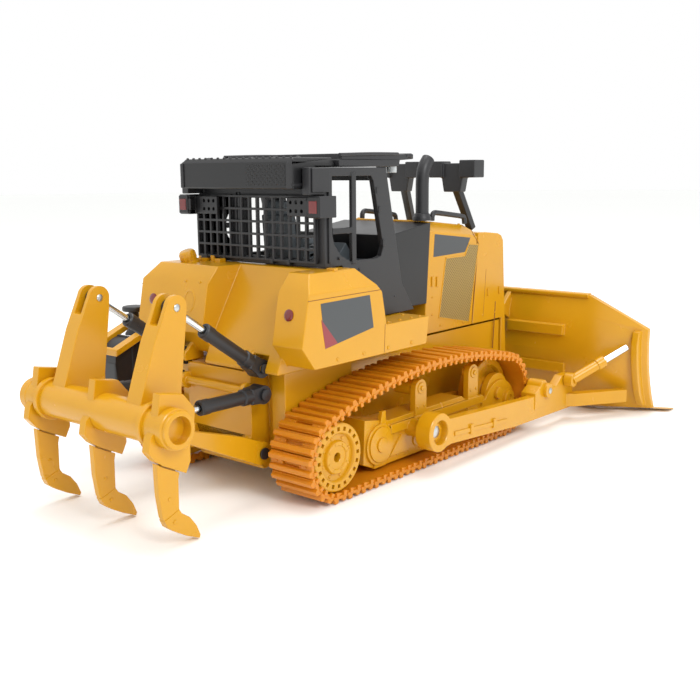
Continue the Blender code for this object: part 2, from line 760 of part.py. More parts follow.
def rear_lamp():
    """A drilled bracket on the cab's rear corner with a lamp and a housing beside it."""
    bracket = block(6.6, 8.4, -31.5, -20.5, 110.5, 118.0)
    back = block(7.0, 8.6, -39.5, -30.5, 110.5, 118.0)
    lamp = block(3.6, 13.4, -41.0, -34.6, 110.2, 118.6)
    lamp = cut(lamp, block(8.9, 20, -38.4, -30, 100, 130))
    holes = [
        extrude(arc(-28.6 + 3.0 * i, 112.6 + 3.4 * j, 0.85, 0, 315, 7), "x", 0, 20)
        for i in range(3) for j in range(2)
    ]
    return cut(fuse(bracket, back, lamp), *holes)


def hood_rail():
    """A grab rail bent down at both ends, along the hood's shoulder."""
    y = -21.5
    path = [
        (105.2, y, 104.8), (105.6, y, 107.4), (107.6, y, 108.4), (131, y, 105.6), (133, y, 104.4),
        (133.2, y, 101.8),
    ]
    return pipe(path, 1.3, 8)


def fuel_cap():
    """The filler cap on the fuel tank's top."""
    return bar((0.5, 33.0, FENDER_TOP + GAP), (0.5, 33.0, 95.0), 3.5)


def side_tank():
    """A round-topped reservoir on the left-hand side, behind the tank guard."""
    outline = [(-24, 34), (-24, 46), *arc(-14, 46, 10, 180, 60, 6), (0, 54), (0, 34)]
    return extrude(outline, "y", 55.5, 65.5)


def tank_guard():
    """A ladder-shaped guard over the reservoir."""
    plate = extrude([(-27, 50), (2, 62), (2, 65), (-27, 53)], "y", 50.0, 71.0)
    hole = extrude([(-25.6, 40), (-2.5, 46), (-2.5, 72), (-25.6, 66)], "y", 54.5, 66.5)
    bracket = block(-6, 2, FENDER_OUTER + GAP, 53, 55, 63.5)
    return fuse(cut(plate, hole), bracket)


def tank_breather():
    """A mushroom-shaped breather on the reservoir."""
    post = bar((-9.0, 60.5, 57.4), (-9.0, 60.5, 68.0), 2.2)
    cap = bar((-9.0, 60.5, 67.0), (-9.0, 60.5, 69.4), 5.0, 16)
    base = bar((-9.0, 60.5, 56.6), (-9.0, 60.5, 60.0), 4.2)
    return fuse(post, cap, base)


def belly_cover():
    """The battery door in the hull's floor."""
    return block(36.5, 99.5, -15.6, 15.6, HULL_BOTTOM - 0.2, 12.0)


def battery_pack():
    """Three cells side by side, wrapped together."""
    cells = [bar((40, y, 22.5), (94, y, 22.5), 7.0, 16) for y in (-13.2, 0.0, 13.2)]
    return fuse(cells[0], cells[1], cells[2], block(42, 92, -14, 14, 19, 26))


def circuit_board():
    """A board with three chips above the battery."""
    board = block(60, 120, -18, 18, 36, 37.6)
    chips = [block(66 + 14 * i, 74 + 14 * i, -10, 4, 37, 40 + i) for i in range(3)]
    return fuse(board, *chips)


def drive_gearbox():
    """The casing that turns both sprockets, with its two motors."""
    case = block(-1, 24, -20, 20, 15, 30)
    motors = [bar((22, side * 10.5, 23), (38, side * 10.5, 23), 6.4, 12) for side in (-1, 1)]
    return fuse(case, *motors)


def power_switch():
    """A slide switch at one end of its slot in the hull's floor."""
    return fuse(block(106.5, 112.5, -1.8, 1.8, 8.6, 16.0), block(108.3, 110.7, -1.2, 1.2, 6.6, 9.6))


# ---------------------------------------------------------------- blade group


def blade_line(z):
    """How far forward the blade's rear skin stands at a height, for the middle panel."""
    share = (z - 2.0) / (BLADE_TOP - 2.0)
    bow = 4 * share * (1 - share)
    return 192.0 + 6.0 * (1 - share) - 7.0 * bow


def blade_ring(y, forward, top, thickness=3.2):
    """One cross-section of the mouldboard."""
    levels = [2.0 + (top - 2.0) * k / 6 for k in range(7)]
    rear = [(blade_line(z) + forward, y, z) for z in levels]
    front = [(blade_line(z) + forward + thickness, y, z) for z in reversed(levels)]
    return rear + front


def blade_moldboard():
    """The curved plate with angled wings, a top lip, stiffening bars and an end rib on each side."""
    stations = [
        (-BLADE_HALF, 15.0, 46.0), (-BLADE_KINK, 0.0, BLADE_TOP), (BLADE_KINK, 0.0, BLADE_TOP),
        (BLADE_HALF, 15.0, 46.0),
    ]
    plate = loft([blade_ring(*station) for station in stations])
    extra = []
    for z in (20.0, 41.0):
        x = blade_line(z)
        extra += both([(x - 2.2, z), (x + 2, z), (x + 2, z + 5.5), (x - 2.2, z + 5.5)], 16, 50)
    for side in (-1, 1):
        rib = []
        for k, z in enumerate((4, 11, 18, 25, 32, 39, 45)):
            rib.append((blade_line(z) + 12.0 - (3.6 if 0 < k < 6 else 2.0), z))
        rib += [(blade_line(z) + 14.6, z) for z in (45, 25, 4)]
        near, far = sorted((side * (BLADE_HALF - 6.0), side * (BLADE_HALF - 2.6)))
        extra.append(extrude(rib, "y", near, far))
        x = blade_line(50)
        extra.append(extrude([(x - 9, 52), (x + 2, 62), (x + 2, 46)], "y",
                             *sorted((side * 12.8, side * 15.6))))
        x = blade_line(LUG[1])
        lug = [(x + 1.5, LUG[1] - 4), *arc(*LUG, 3.4, 270, 90, 6), (x + 1.5, LUG[1] + 4)]
        for inner, outer in ((LIFT_SIDE - 4.4, LIFT_SIDE - 2.6), (LIFT_SIDE + 2.6, LIFT_SIDE + 4.4)):
            extra.append(extrude(lug, "y", *sorted((side * inner, side * outer))))
        near, far = sorted((side * (LIFT_SIDE - 3.6), side * (LIFT_SIDE + 3.6)))
        extra.append(disc(*LUG, 1.0, near, far, SMALL_ROUND))
    return fuse(plate, *extra)


def cutting_edge():
    """The wear plate along the bottom, bent forward with the wings and wider at its end bits."""
    def ring(y, forward, drop):
        x = blade_line(2.0) + forward
        return [(x + 1.0, y, 1.6), (x + 4.4, y, 1.6), (x + 8.0 + drop, y, 0.4), (x + 4.6 + drop, y, 0.4)]
    half = BLADE_HALF + 7
    return loft([
        ring(-half, 19.0, 3.0), ring(-BLADE_HALF + 8, 12.0, 3.0), ring(-BLADE_KINK, 0.0, 0.0),
        ring(BLADE_KINK, 0.0, 0.0), ring(BLADE_HALF - 8, 12.0, 3.0), ring(half, 19.0, 3.0),
    ])


def push_arm():
    """A flat arm from its trunnion boss to the blade's foot, with a raised strut bracket."""
    x, z = LIFT_PIVOT
    plate = [
        (x, z - 8), (64, 11), (120, 7), (176, 6), (176, 21), (172, 24.5), (164, 24.5), (158, 20),
        (134, 18.6), (63, 22.5),
    ]
    arm = extrude(plate, "y", -ARM_OUTER, -ARM_INNER)
    boss = disc(x, z, 8.4, -ARM_OUTER - 0.6, -ARM_INNER + 2.5, 20)
    bracket = [(136, 12), (150, 12), (150, 22), (145, 25.5), (138, 24), (136, 20)]
    barrel = extrude(bracket, "y", -ARM_OUTER - 0.4, -54.4)
    toe = [
        (166, -ARM_INNER), (170, -ARM_OUTER), (176, -ARM_OUTER), (198.8, -78), (197.5, -82.5), (172, -66),
    ]
    foot = extrude(toe, "z", 7.2, 14.0)
    arm = fuse(arm, boss, barrel, foot)
    bore = disc(x, z, 4.4, -ARM_OUTER + 1.4, 0, SMALL_ROUND)
    recess = disc(x, z, 5.4, -ARM_OUTER - 5, -ARM_OUTER + 1.0, SMALL_ROUND)
    return cut(arm, bore, recess)


def brace():
    """The diagonal strut's body, from the arm's bracket towards the blade's upper corner."""
    start = Vector(BRACE_START)
    end = Vector(BRACE_END)
    body = bar(start, start.lerp(end, 0.58), 2.7)
    eye = disc(start.x, start.z, 3.6, -67.0, -ARM_OUTER - GAP, SMALL_ROUND)
    return fuse(body, eye)


def brace_rod():
    """The strut's polished rod, which ends in the blade's slot."""
    start = Vector(BRACE_START)
    end = Vector(BRACE_END)
    return bar(start.lerp(end, 0.59), end, 1.8)


def lift_axis():
    """The lug pin, the trunnion and the direction from one to the other, on the right-hand side."""
    lug = Vector((LUG[0], -LIFT_SIDE, LUG[1]))
    trunnion = Vector((TRUNNION[0], -LIFT_SIDE, TRUNNION[1]))
    return lug, trunnion, (trunnion - lug).normalized()


def lift_barrel():
    """A cylinder barrel with a trunnion sleeve, hung in front of the grille."""
    lug, centre, along = lift_axis()
    barrel = bar(centre - along * 16, centre + along * 17.4, 3.0, 14)
    sleeve = disc(*TRUNNION, 3.2, -LIFT_SIDE - 3.3, -LIFT_SIDE + 3.8, 14)
    hole = disc(*TRUNNION, 1.9, -LIFT_SIDE + 2.4, -LIFT_SIDE + 9, SMALL_ROUND)
    return cut(fuse(barrel, sleeve), bar(centre - along * 20, centre + along * 16.4, 2.1), hole)


def lift_rod():
    """A rod that slides in the barrel, with an eye on the blade's lug."""
    lug, centre, along = lift_axis()
    rod = bar(lug + along * 1.5, lug + along * 36.4, 1.6)
    eye = disc(*LUG, 3.0, -LIFT_SIDE - 2.2, -LIFT_SIDE + 2.2, SMALL_ROUND)
    return cut(fuse(rod, eye), disc(*LUG, 1.7, -30, 30, SMALL_ROUND))


# ---------------------------------------------------------------- ripper group


def shank_holder():
    """The plate round a shank, seen from the side."""
    return [
        (-74.6, 55.4), (-64.6, 53.6), (-59.6, 47.6), (-60.6, 39), (-62.4, 35), (-62.4, 29.6), (-64.6, 25.4),
        (-74.6, 30.4), (-77.6, 32.6), (-80.4, 36), (-79.4, 41), (-76.6, 44),
    ]


def ripper_beam():
    """The cross tube with its stepped ends, shank holders, forked towers and drag arms."""
    x, z = BEAM
    solids = []
    for y in (-SHANK_Y, 0.0, SHANK_Y):
        solids.append(extrude(shank_holder(), "y", y - 2.4, y + 1.4))
    for side in (-1, 1):
        tower = [(-75, 46), (-55.5, 44), (-55.3, 52), (-51.8, 77), *arc(*TOWER_PIN, 4.5, 0, 165, 8), (-66.5, 70)]
        solids.append(extrude(tower, "y", side * TOWER_Y - TOWER_WIDTH / 2, side * TOWER_Y + TOWER_WIDTH / 2))
        px, pz = RIPPER_PIVOT
        arm = [
            (-69, 40.5), (-69, 37.6), (-52, 30.5), (px - 2, pz - 4.6), *arc(px, pz, 4.6, 270, 450, 8),
            (-26, 27.6), (-52, 35.6),
        ]
        solids.append(extrude(arm, "y", *sorted((side * ARM_LOW, side * ARM_HIGH))))
        lug = [(-66, 38), (-66, 48), *arc(*LOWER_PIN, 3.4, 90, -90, 8)]
        for low, high in ((-4.4, -2.8), (2.8, 4.4)):
            solids.append(extrude(lug, "y", side * LIFT_Y + low, side * LIFT_Y + high))
    beam = fuse(disc(x, z, BEAM_RADIUS, -BEAM_HALF, BEAM_HALF, ROUND), *solids)
    cuts = []
    for y in (-SHANK_Y, 0.0, SHANK_Y):
        cuts.append(block(-75.0, -66.2, y - 1.3, y + 0.7, 20, 37.0))
    for side in (-1, 1):
        cuts.append(disc(x, z, 4.8, *sorted((side * (BEAM_HALF + 5), side * (BEAM_HALF - 4))), 20))
        cuts.append(block(-72, -45, side * TOWER_Y - 2.1, side * TOWER_Y + 2.1, 75.6, 92))
        cuts.append(disc(*RIPPER_PIVOT, 2.0, side * 23 - 4, side * 23 + 4, SMALL_ROUND))
        cuts.append(disc(*LOWER_PIN, 3.2, side * LIFT_Y - 2.8, side * LIFT_Y + 2.8, SMALL_ROUND))
    beam = cut(beam, *cuts)
    pins = []
    for side in (-1, 1):
        pins.append(disc(*TOWER_PIN, 0.8, side * TOWER_Y - 3, side * TOWER_Y + 3, SMALL_ROUND))
        pins.append(disc(*LOWER_PIN, 0.8, side * LIFT_Y - 3.4, side * LIFT_Y + 3.4, SMALL_ROUND))
    return fuse(beam, *pins)


def ripper_shank(y):
    """A curved shank with a forward-pointing tooth and a thin tang in its holder."""
    outline = [
        (-77.0, 31.6), (-76.6, 20), (-75.4, 12), (-73.6, 8.6), (-70.6, 6.2), (-65.6, 3.2),
        (-59.6, 0.3), (-59.4, 1.4), (-61.0, 5.2), (-63.8, 9.0), (-67.4, 11.4), (-68.2, 13.6), (-68.0, 24),
        (-67.4, 26.4), (-74.7, 30.0),
    ]
    tang = block(-74.6, -68.4, y - 1.0, y + 0.4, 24, 36.6)
    return fuse(extrude(outline, "y", y - 2.2, y + 0.6), tang)


def cylinder(base, tip, y, radius, head, length, start):
    """(barrel, rod) of a cylinder from its base eye to its rod eye, in the plane at y."""
    low = Vector((base[0], y, base[1]))
    high = Vector((tip[0], y, tip[1]))
    along = (high - low).normalized()
    barrel = bar(low + along * 2.0, low + along * length, radius, 14)
    collar = bar(low + along * 6.0, low + along * 9.5, radius + 0.6, 14)
    eye = disc(*base, head, y - 3.0, y + 3.0, 14)
    bore = bar(low + along * start, low + along * (length + 5), 1.65, SMALL_ROUND)
    hole = disc(*base, 2.0, y - 9, y + 9, SMALL_ROUND)
    barrel = cut(fuse(barrel, collar, eye), bore, hole)
    rod = bar(low + along * (start + ROD_SPARE), high - along * 1.0, 1.3, SMALL_ROUND)
    ring = disc(*tip, 2.6, y - 1.7, y + 1.7, SMALL_ROUND)
    rod = cut(fuse(rod, ring), disc(*tip, 1.4, y - 9, y + 9, SMALL_ROUND))
    return barrel, rod


# ---------------------------------------------------------------- build


def build_body():
    put("chassis_hull", chassis_hull(), YELLOW)
    put("rear_body", rear_body(), YELLOW)
    put("hood", hood(), YELLOW)
    put("radiator_guard", radiator_guard(), YELLOW)
    put("radiator_grille", radiator_grille(), BLACK)
    put("engine_bay_panel", engine_bay_panel(), BLACK)
    put("cab_frame", cab_frame(), BLACK)
    put("rear_window_guard", rear_window_guard(), BLACK)
    put("roof_panel", roof_panel(), BLACK)
    put("roof_aircon_box", roof_aircon_box(), BLACK)
    put("operator_seat", operator_seat(), GREY)
    put("control_console", control_console(), GREY)
    put("exhaust_stack", exhaust_stack(), BLACK, smooth=True)
    put_pair("lamp_mast", lamp_mast(), BLACK)
    put_pair("rear_lamp", rear_lamp(), BLACK)
    put_pair("hood_rail", hood_rail(), BLACK, smooth=True)
    put("fuel_cap", fuel_cap(), YELLOW, smooth=True)
    put("side_tank", side_tank(), BLACK, smooth=True)
    put("tank_guard", tank_guard(), YELLOW)
    put("tank_breather", tank_breather(), BLACK, smooth=True)
    put("belly_cover", belly_cover(), YELLOW)
    put("battery_pack", battery_pack(), CELL, smooth=True)
    put("circuit_board", circuit_board(), BOARD)
    put("drive_gearbox", drive_gearbox(), GREY)
    put("power_switch", power_switch(), BLACK)


def build_undercarriage():
    put_pair("track_frame", track_frame(), YELLOW)
    put_pair("track_belt", track_belt(), TRACK)
    wheels = (
        ("drive_sprocket", drive_sprocket(), REAR_WHEEL),
        ("front_idler", front_idler(), FRONT_WHEEL),
    )
    for name, shape, wheel in wheels:
        axles = [pivot_empty(name + "_axle_" + side, *wheel) for side in ("right", "left")]
        put_pair(name, shape, YELLOW, axles, smooth=True)


def build_blade():
    pivot = pivot_empty("blade_pivot", *LIFT_PIVOT)
    put("blade_moldboard", blade_moldboard(), YELLOW, pivot)
    put("cutting_edge", cutting_edge(), YELLOW, pivot)
    put_pair("push_arm", push_arm(), YELLOW, (pivot, pivot))
    put_pair("blade_brace", brace(), YELLOW, (pivot, pivot), smooth=True)
    put_pair("brace_rod", brace_rod(), CHROME, (pivot, pivot), smooth=True)
    trunnions = [pivot_empty("trunnion_" + side, *TRUNNION) for side in ("right", "left")]
    put_pair("lift_barrel", lift_barrel(), BLACK, trunnions, smooth=True)
    put_pair("lift_rod", lift_rod(), CHROME, trunnions, smooth=True)


def build_ripper():
    pivot = pivot_empty("ripper_pivot", *RIPPER_PIVOT)
    put("ripper_beam", ripper_beam(), YELLOW, pivot)
    for name, y in (("right", -SHANK_Y), ("middle", 0.0), ("left", SHANK_Y)):
        put("ripper_shank_" + name, ripper_shank(y), YELLOW, pivot)
    for name, base, tip, y, length in (
        ("tilt", TILT_EYE, TOWER_PIN, -TOWER_Y, 33.0),
        ("lift", LIFT_EYE, LOWER_PIN, -LIFT_Y, 31.0),
    ):
        eyes = [pivot_empty("ripper_" + name + "_eye_" + side, *base) for side in ("right", "left")]
        barrel, rod = cylinder(base, tip, y, 2.7, 3.7, length, 5.0)
        put_pair("ripper_" + name + "_barrel", barrel, BLACK, eyes, smooth=True)
        put_pair("ripper_" + name + "_rod", rod, CHROME, eyes, smooth=True)


build_body()
build_undercarriage()
build_blade()
build_ripper()
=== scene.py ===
"""Finished look of the toy bulldozer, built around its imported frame.

Sizes are in millimetres in the machine's own frame: x forward from the rear wheel's axle, y to the
machine's left and z up from the ground. placed() turns them to metres in the frame's own place.
"""

import json
from math import atan2, cos, hypot, pi, radians, sin, sqrt

import bmesh
import bpy
from mathutils import Matrix, Vector

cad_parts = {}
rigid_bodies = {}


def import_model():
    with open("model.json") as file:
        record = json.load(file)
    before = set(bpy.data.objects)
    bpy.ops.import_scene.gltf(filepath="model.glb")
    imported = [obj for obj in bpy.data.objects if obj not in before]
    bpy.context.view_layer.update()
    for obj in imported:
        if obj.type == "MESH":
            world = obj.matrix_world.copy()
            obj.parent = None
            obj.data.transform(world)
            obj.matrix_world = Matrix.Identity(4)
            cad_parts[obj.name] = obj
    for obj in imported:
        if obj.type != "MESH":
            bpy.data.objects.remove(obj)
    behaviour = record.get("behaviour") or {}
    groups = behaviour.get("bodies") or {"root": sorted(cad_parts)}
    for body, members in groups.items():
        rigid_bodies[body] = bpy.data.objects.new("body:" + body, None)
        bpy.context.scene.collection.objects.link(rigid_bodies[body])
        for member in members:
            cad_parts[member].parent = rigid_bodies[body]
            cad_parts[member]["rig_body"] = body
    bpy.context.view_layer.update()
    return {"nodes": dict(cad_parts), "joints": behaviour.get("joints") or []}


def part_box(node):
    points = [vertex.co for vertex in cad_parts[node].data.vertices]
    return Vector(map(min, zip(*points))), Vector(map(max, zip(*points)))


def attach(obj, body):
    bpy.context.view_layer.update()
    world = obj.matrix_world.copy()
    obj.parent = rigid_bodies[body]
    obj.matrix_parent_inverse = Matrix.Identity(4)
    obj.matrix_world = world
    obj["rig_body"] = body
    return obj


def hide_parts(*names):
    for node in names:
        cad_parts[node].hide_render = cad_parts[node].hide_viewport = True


bl_info = {
    "name": "Toy bulldozer finish",
    "version": (1, 0, 0),
    "blender": (4, 5, 0),
    "location": "View3D > Sidebar > Bulldozer",
    "description": "Builds the finished pieces of a toy bulldozer round its frame",
    "category": "Object",
}

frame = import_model()

MM = 0.001
JOINTS = {joint["name"]: joint for joint in frame["joints"]}


def joint_place(name):
    """Where a joint's axis crosses the middle plane, in metres."""
    return JOINTS[name]["pos_m"]


MIDDLE_X = -joint_place("sprocket_spin_right")[0] / MM


def joint_mm(name):
    """A joint's (x, z) in the machine's millimetres."""
    x, _, z = joint_place(name)
    return (x / MM + MIDDLE_X, z / MM)


def node_mm(name):
    """A node's lowest and highest corners in the machine's millimetres."""
    low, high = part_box(name)
    shift = Vector((MIDDLE_X, 0.0, 0.0))
    return low / MM + shift, high / MM + shift


REAR_WHEEL = joint_mm("sprocket_spin_right")
FRONT_WHEEL = joint_mm("idler_spin_right")
LIFT_PIVOT = joint_mm("blade_lift")
RIPPER_PIVOT = joint_mm("ripper_lift")
TILT_EYE = joint_mm("ripper_tilt_barrel_swing_right")
LIFT_EYE = joint_mm("ripper_lift_barrel_swing_right")
TRUNNION = joint_mm("lift_barrel_swing_right")
BELT_LOW, BELT_HIGH = node_mm("track_belt_right")
TRACK_OUTER = -BELT_LOW.y
TRACK_INNER = -BELT_HIGH.y

SHOES = 43
GROUSER = 1.9
ARCH_TOP = 47.4
BELT_THICK = 1.8
FENDER_OUTER = 49.0
HOOD_HALF = 25.0
TOWER_PIN = (-56.1, 81.3)
TOWER_Y = 22.6
LOWER_PIN = (-58.0, 43.0)
LIFT_Y = 25.0
LUG = (184.0, 28.0)
LIFT_SIDE = 9.0
BEAM = (-71.0, 43.0)
BEAM_HALF = 44.0
SHANK_Y = 36.2
BRACE_START = (168.0, -65.4, 22.0)
BRACE_END = (194.6, -82.4, 37.0)
ARM_OUTER = -62.0
ARM_INNER = -57.5
FRAME_FACE = -46.0
HULL_SIDE = -31.2
SHANK_RIGHT = 2.2
SHANK_LEFT = 0.6
HOLDER_RIGHT = 2.4
HOLDER_LEFT = 1.4
CAMERA_PLACE = (-0.34375, -0.28645, 0.12783)
CAMERA_HEADING = 40.17
CAMERA_DIP = 10.61
CAMERA_ROLL = -0.43
SIDES = (("right", -1), ("left", 1))


# ------------------------------------------------------------------ settings


class BulldozerSizes(bpy.types.PropertyGroup):
    """Sizes that change how fine the finish is."""

    edge_round: bpy.props.FloatProperty(
        name="Edge round",
        description="Radius of a moulded edge, in millimetres",
        default=0.28,
        min=0.05,
        max=0.6,
    )
    seam_width: bpy.props.FloatProperty(
        name="Seam width",
        description="Width of the parting lines between two panels, in millimetres",
        default=0.32,
        min=0.1,
        max=1.0,
    )
    bolt_radius: bpy.props.FloatProperty(
        name="Bolt radius",
        description="Radius of the moulded bolt heads, in millimetres",
        default=0.85,
        min=0.3,
        max=2.0,
    )
    floor_radius: bpy.props.FloatProperty(
        name="Floor radius",
        description="How far the studio floor reaches",
        default=6.0,
        min=1.0,
        subtype="DISTANCE",
        unit="LENGTH",
    )
    lens: bpy.props.FloatProperty(
        name="Lens",
        description="Focal length of the camera in millimetres, on a 36 mm wide sensor",
        default=49.0,
        min=20.0,
    )


def colour_property(name, description, colour):
    return bpy.props.FloatVectorProperty(
        name=name, description=description, subtype="COLOR", size=4, min=0.0, max=1.0, default=linear(colour)
    )


def linear(colour):
    """An sRGB hex colour as linear red, green, blue and alpha."""
    channels = [int(colour[i : i + 2], 16) / 255 for i in (0, 2, 4)]
    return (*[c / 12.92 if c <= 0.04045 else ((c + 0.055) / 1.055) ** 2.4 for c in channels], 1.0)


class BulldozerColours(bpy.types.PropertyGroup):
    """Colours that a user may change before building."""

    body: colour_property("Body", "Moulded body plastic", "CC930E")
    track: colour_property("Track", "Soft track plastic", "CC7E07")
    dark: colour_property("Dark trim", "Cab, cylinders and lamps", "232325")
    decal: colour_property("Decal", "Printed side panels", "45484A")
    lens: colour_property("Lens", "Red reflectors and lenses", "6E1C1B")


def sizes():
    return bpy.context.scene.bulldozer_sizes


def colours():
    return bpy.context.scene.bulldozer_colours


# ------------------------------------------------------------------ materials


def add_node(tree, kind, settings=None, **sockets):
    """A node with its settings, and its inputs set to a value or linked to another node's output."""
    made = tree.nodes.new(kind)
    for name, value in (settings or {}).items():
        setattr(made, name, value)
    for name, value in sockets.items():
        socket = made.inputs[int(name[1:])] if name[0] == "_" else made.inputs[name.replace("_", " ")]
        if isinstance(value, bpy.types.NodeSocket):
            tree.links.new(value, socket)
        else:
            socket.default_value = value
    return made


MATERIALS = {}


def shaded(colour, share):
    """A linear colour made lighter or darker by a share."""
    return (*[min(1.0, channel * share) for channel in colour[:3]], 1.0)


def new_material(name, colour, roughness, ior=1.5, metallic=0.0):
    """A material and the two ends that patterns hang on: its tree and its shader."""
    made = bpy.data.materials.new(name)
    made.use_nodes = True
    made.diffuse_color = colour
    shader = made.node_tree.nodes["Principled BSDF"]
    shader.inputs["Base Color"].default_value = colour
    shader.inputs["Roughness"].default_value = roughness
    shader.inputs["Metallic"].default_value = metallic
    if not metallic:
        shader.inputs["IOR"].default_value = ior
    MATERIALS[name] = made
    return made.node_tree, shader


def moulded(name, colour, roughness, ior, mottle_mm=14.0, grain_mm=0.45, relief_mm=0.012, contrast=0.06):
    """A moulded plastic: slow drifts of tone from the melt's flow, and the fine grain of the tool."""
    tree, shader = new_material(name, colour, roughness, ior)
    place = add_node(tree, "ShaderNodeTexCoord").outputs["Object"]
    drift = add_node(tree, "ShaderNodeTexNoise", None, Vector=place, Scale=1 / (mottle_mm * MM), Detail=3.0)
    grain = add_node(tree, "ShaderNodeTexNoise", None, Vector=place, Scale=1 / (grain_mm * MM), Detail=2.0)
    tone = add_node(
        tree, "ShaderNodeMix", {"data_type": "RGBA"}, _0=drift.outputs["Fac"],
        _6=shaded(colour, 1 - contrast), _7=shaded(colour, 1 + contrast),
    )
    tree.links.new(tone.outputs[2], shader.inputs["Base Color"])
    sheen = add_node(
        tree, "ShaderNodeMapRange", None, Value=drift.outputs["Fac"],
        To_Min=roughness * 0.88, To_Max=roughness * 1.14,
    )
    tree.links.new(sheen.outputs["Result"], shader.inputs["Roughness"])
    relief = add_node(
        tree, "ShaderNodeBump", None, Strength=0.35, Distance=relief_mm * MM, Height=grain.outputs["Fac"]
    )
    tree.links.new(relief.outputs["Normal"], shader.inputs["Normal"])
    return tree, shader, tone, relief


def perforated(name, colour, painted_hole_shade, roughness, pitch_mm, flat_axis, hole=0.3):
    """Moulded plastic with a staggered field of small round holes, each well painted dark as painted shade,
    with rims.
    """
    tree, shader, tone, relief = moulded(name, colour, roughness, 1.5)
    keep = [0.0 if axis == flat_axis else 1.0 / (pitch_mm * MM) for axis in "xyz"]
    turn = [radians(45) if axis == flat_axis else 0.0 for axis in "xyz"]
    place = add_node(tree, "ShaderNodeTexCoord").outputs["Object"]
    turned_place = add_node(
        tree, "ShaderNodeVectorRotate", {"rotation_type": "EULER_XYZ"}, Vector=place, Rotation=turn
    )
    scaled = add_node(
        tree, "ShaderNodeVectorMath", {"operation": "MULTIPLY"}, _0=turned_place.outputs["Vector"], _1=keep
    )
    cells = add_node(tree, "ShaderNodeTexVoronoi", None, Vector=scaled.outputs[0], Scale=1.0, Randomness=0.0)
    well = add_node(
        tree, "ShaderNodeMapRange", None, Value=cells.outputs["Distance"], From_Min=hole, From_Max=hole + 0.1
    )
    # Each hole is coloured with painted shade, the dark of its well.
    paint = add_node(
        tree, "ShaderNodeMix", {"data_type": "RGBA"}, _0=well.outputs["Result"], _6=painted_hole_shade,
        _7=tone.outputs[2],
    )
    tree.links.new(paint.outputs[2], shader.inputs["Base Color"])
    deep = add_node(
        tree, "ShaderNodeBump", None, Strength=0.9, Distance=0.3 * MM, Height=well.outputs["Result"],
        Normal=relief.outputs["Normal"],
    )
    tree.links.new(deep.outputs["Normal"], shader.inputs["Normal"])


def plated(name, colour, roughness, brush_mm, relief_mm=0.004):
    """A polished metal skin with faint lines from its buffing."""
    tree, shader = new_material(name, colour, roughness, metallic=1.0)
    place = add_node(tree, "ShaderNodeTexCoord").outputs["Object"]
    lines = add_node(tree, "ShaderNodeTexNoise", None, Vector=place, Scale=1 / (brush_mm * MM), Detail=4.0)
    polish = add_node(
        tree, "ShaderNodeMapRange", None, Value=lines.outputs["Fac"], To_Min=roughness * 0.6,
        To_Max=roughness * 1.5
    )
    tree.links.new(polish.outputs["Result"], shader.inputs["Roughness"])
    relief = add_node(
        tree, "ShaderNodeBump", None, Strength=0.2, Distance=relief_mm * MM, Height=lines.outputs["Fac"]
    )
    tree.links.new(relief.outputs["Normal"], shader.inputs["Normal"])


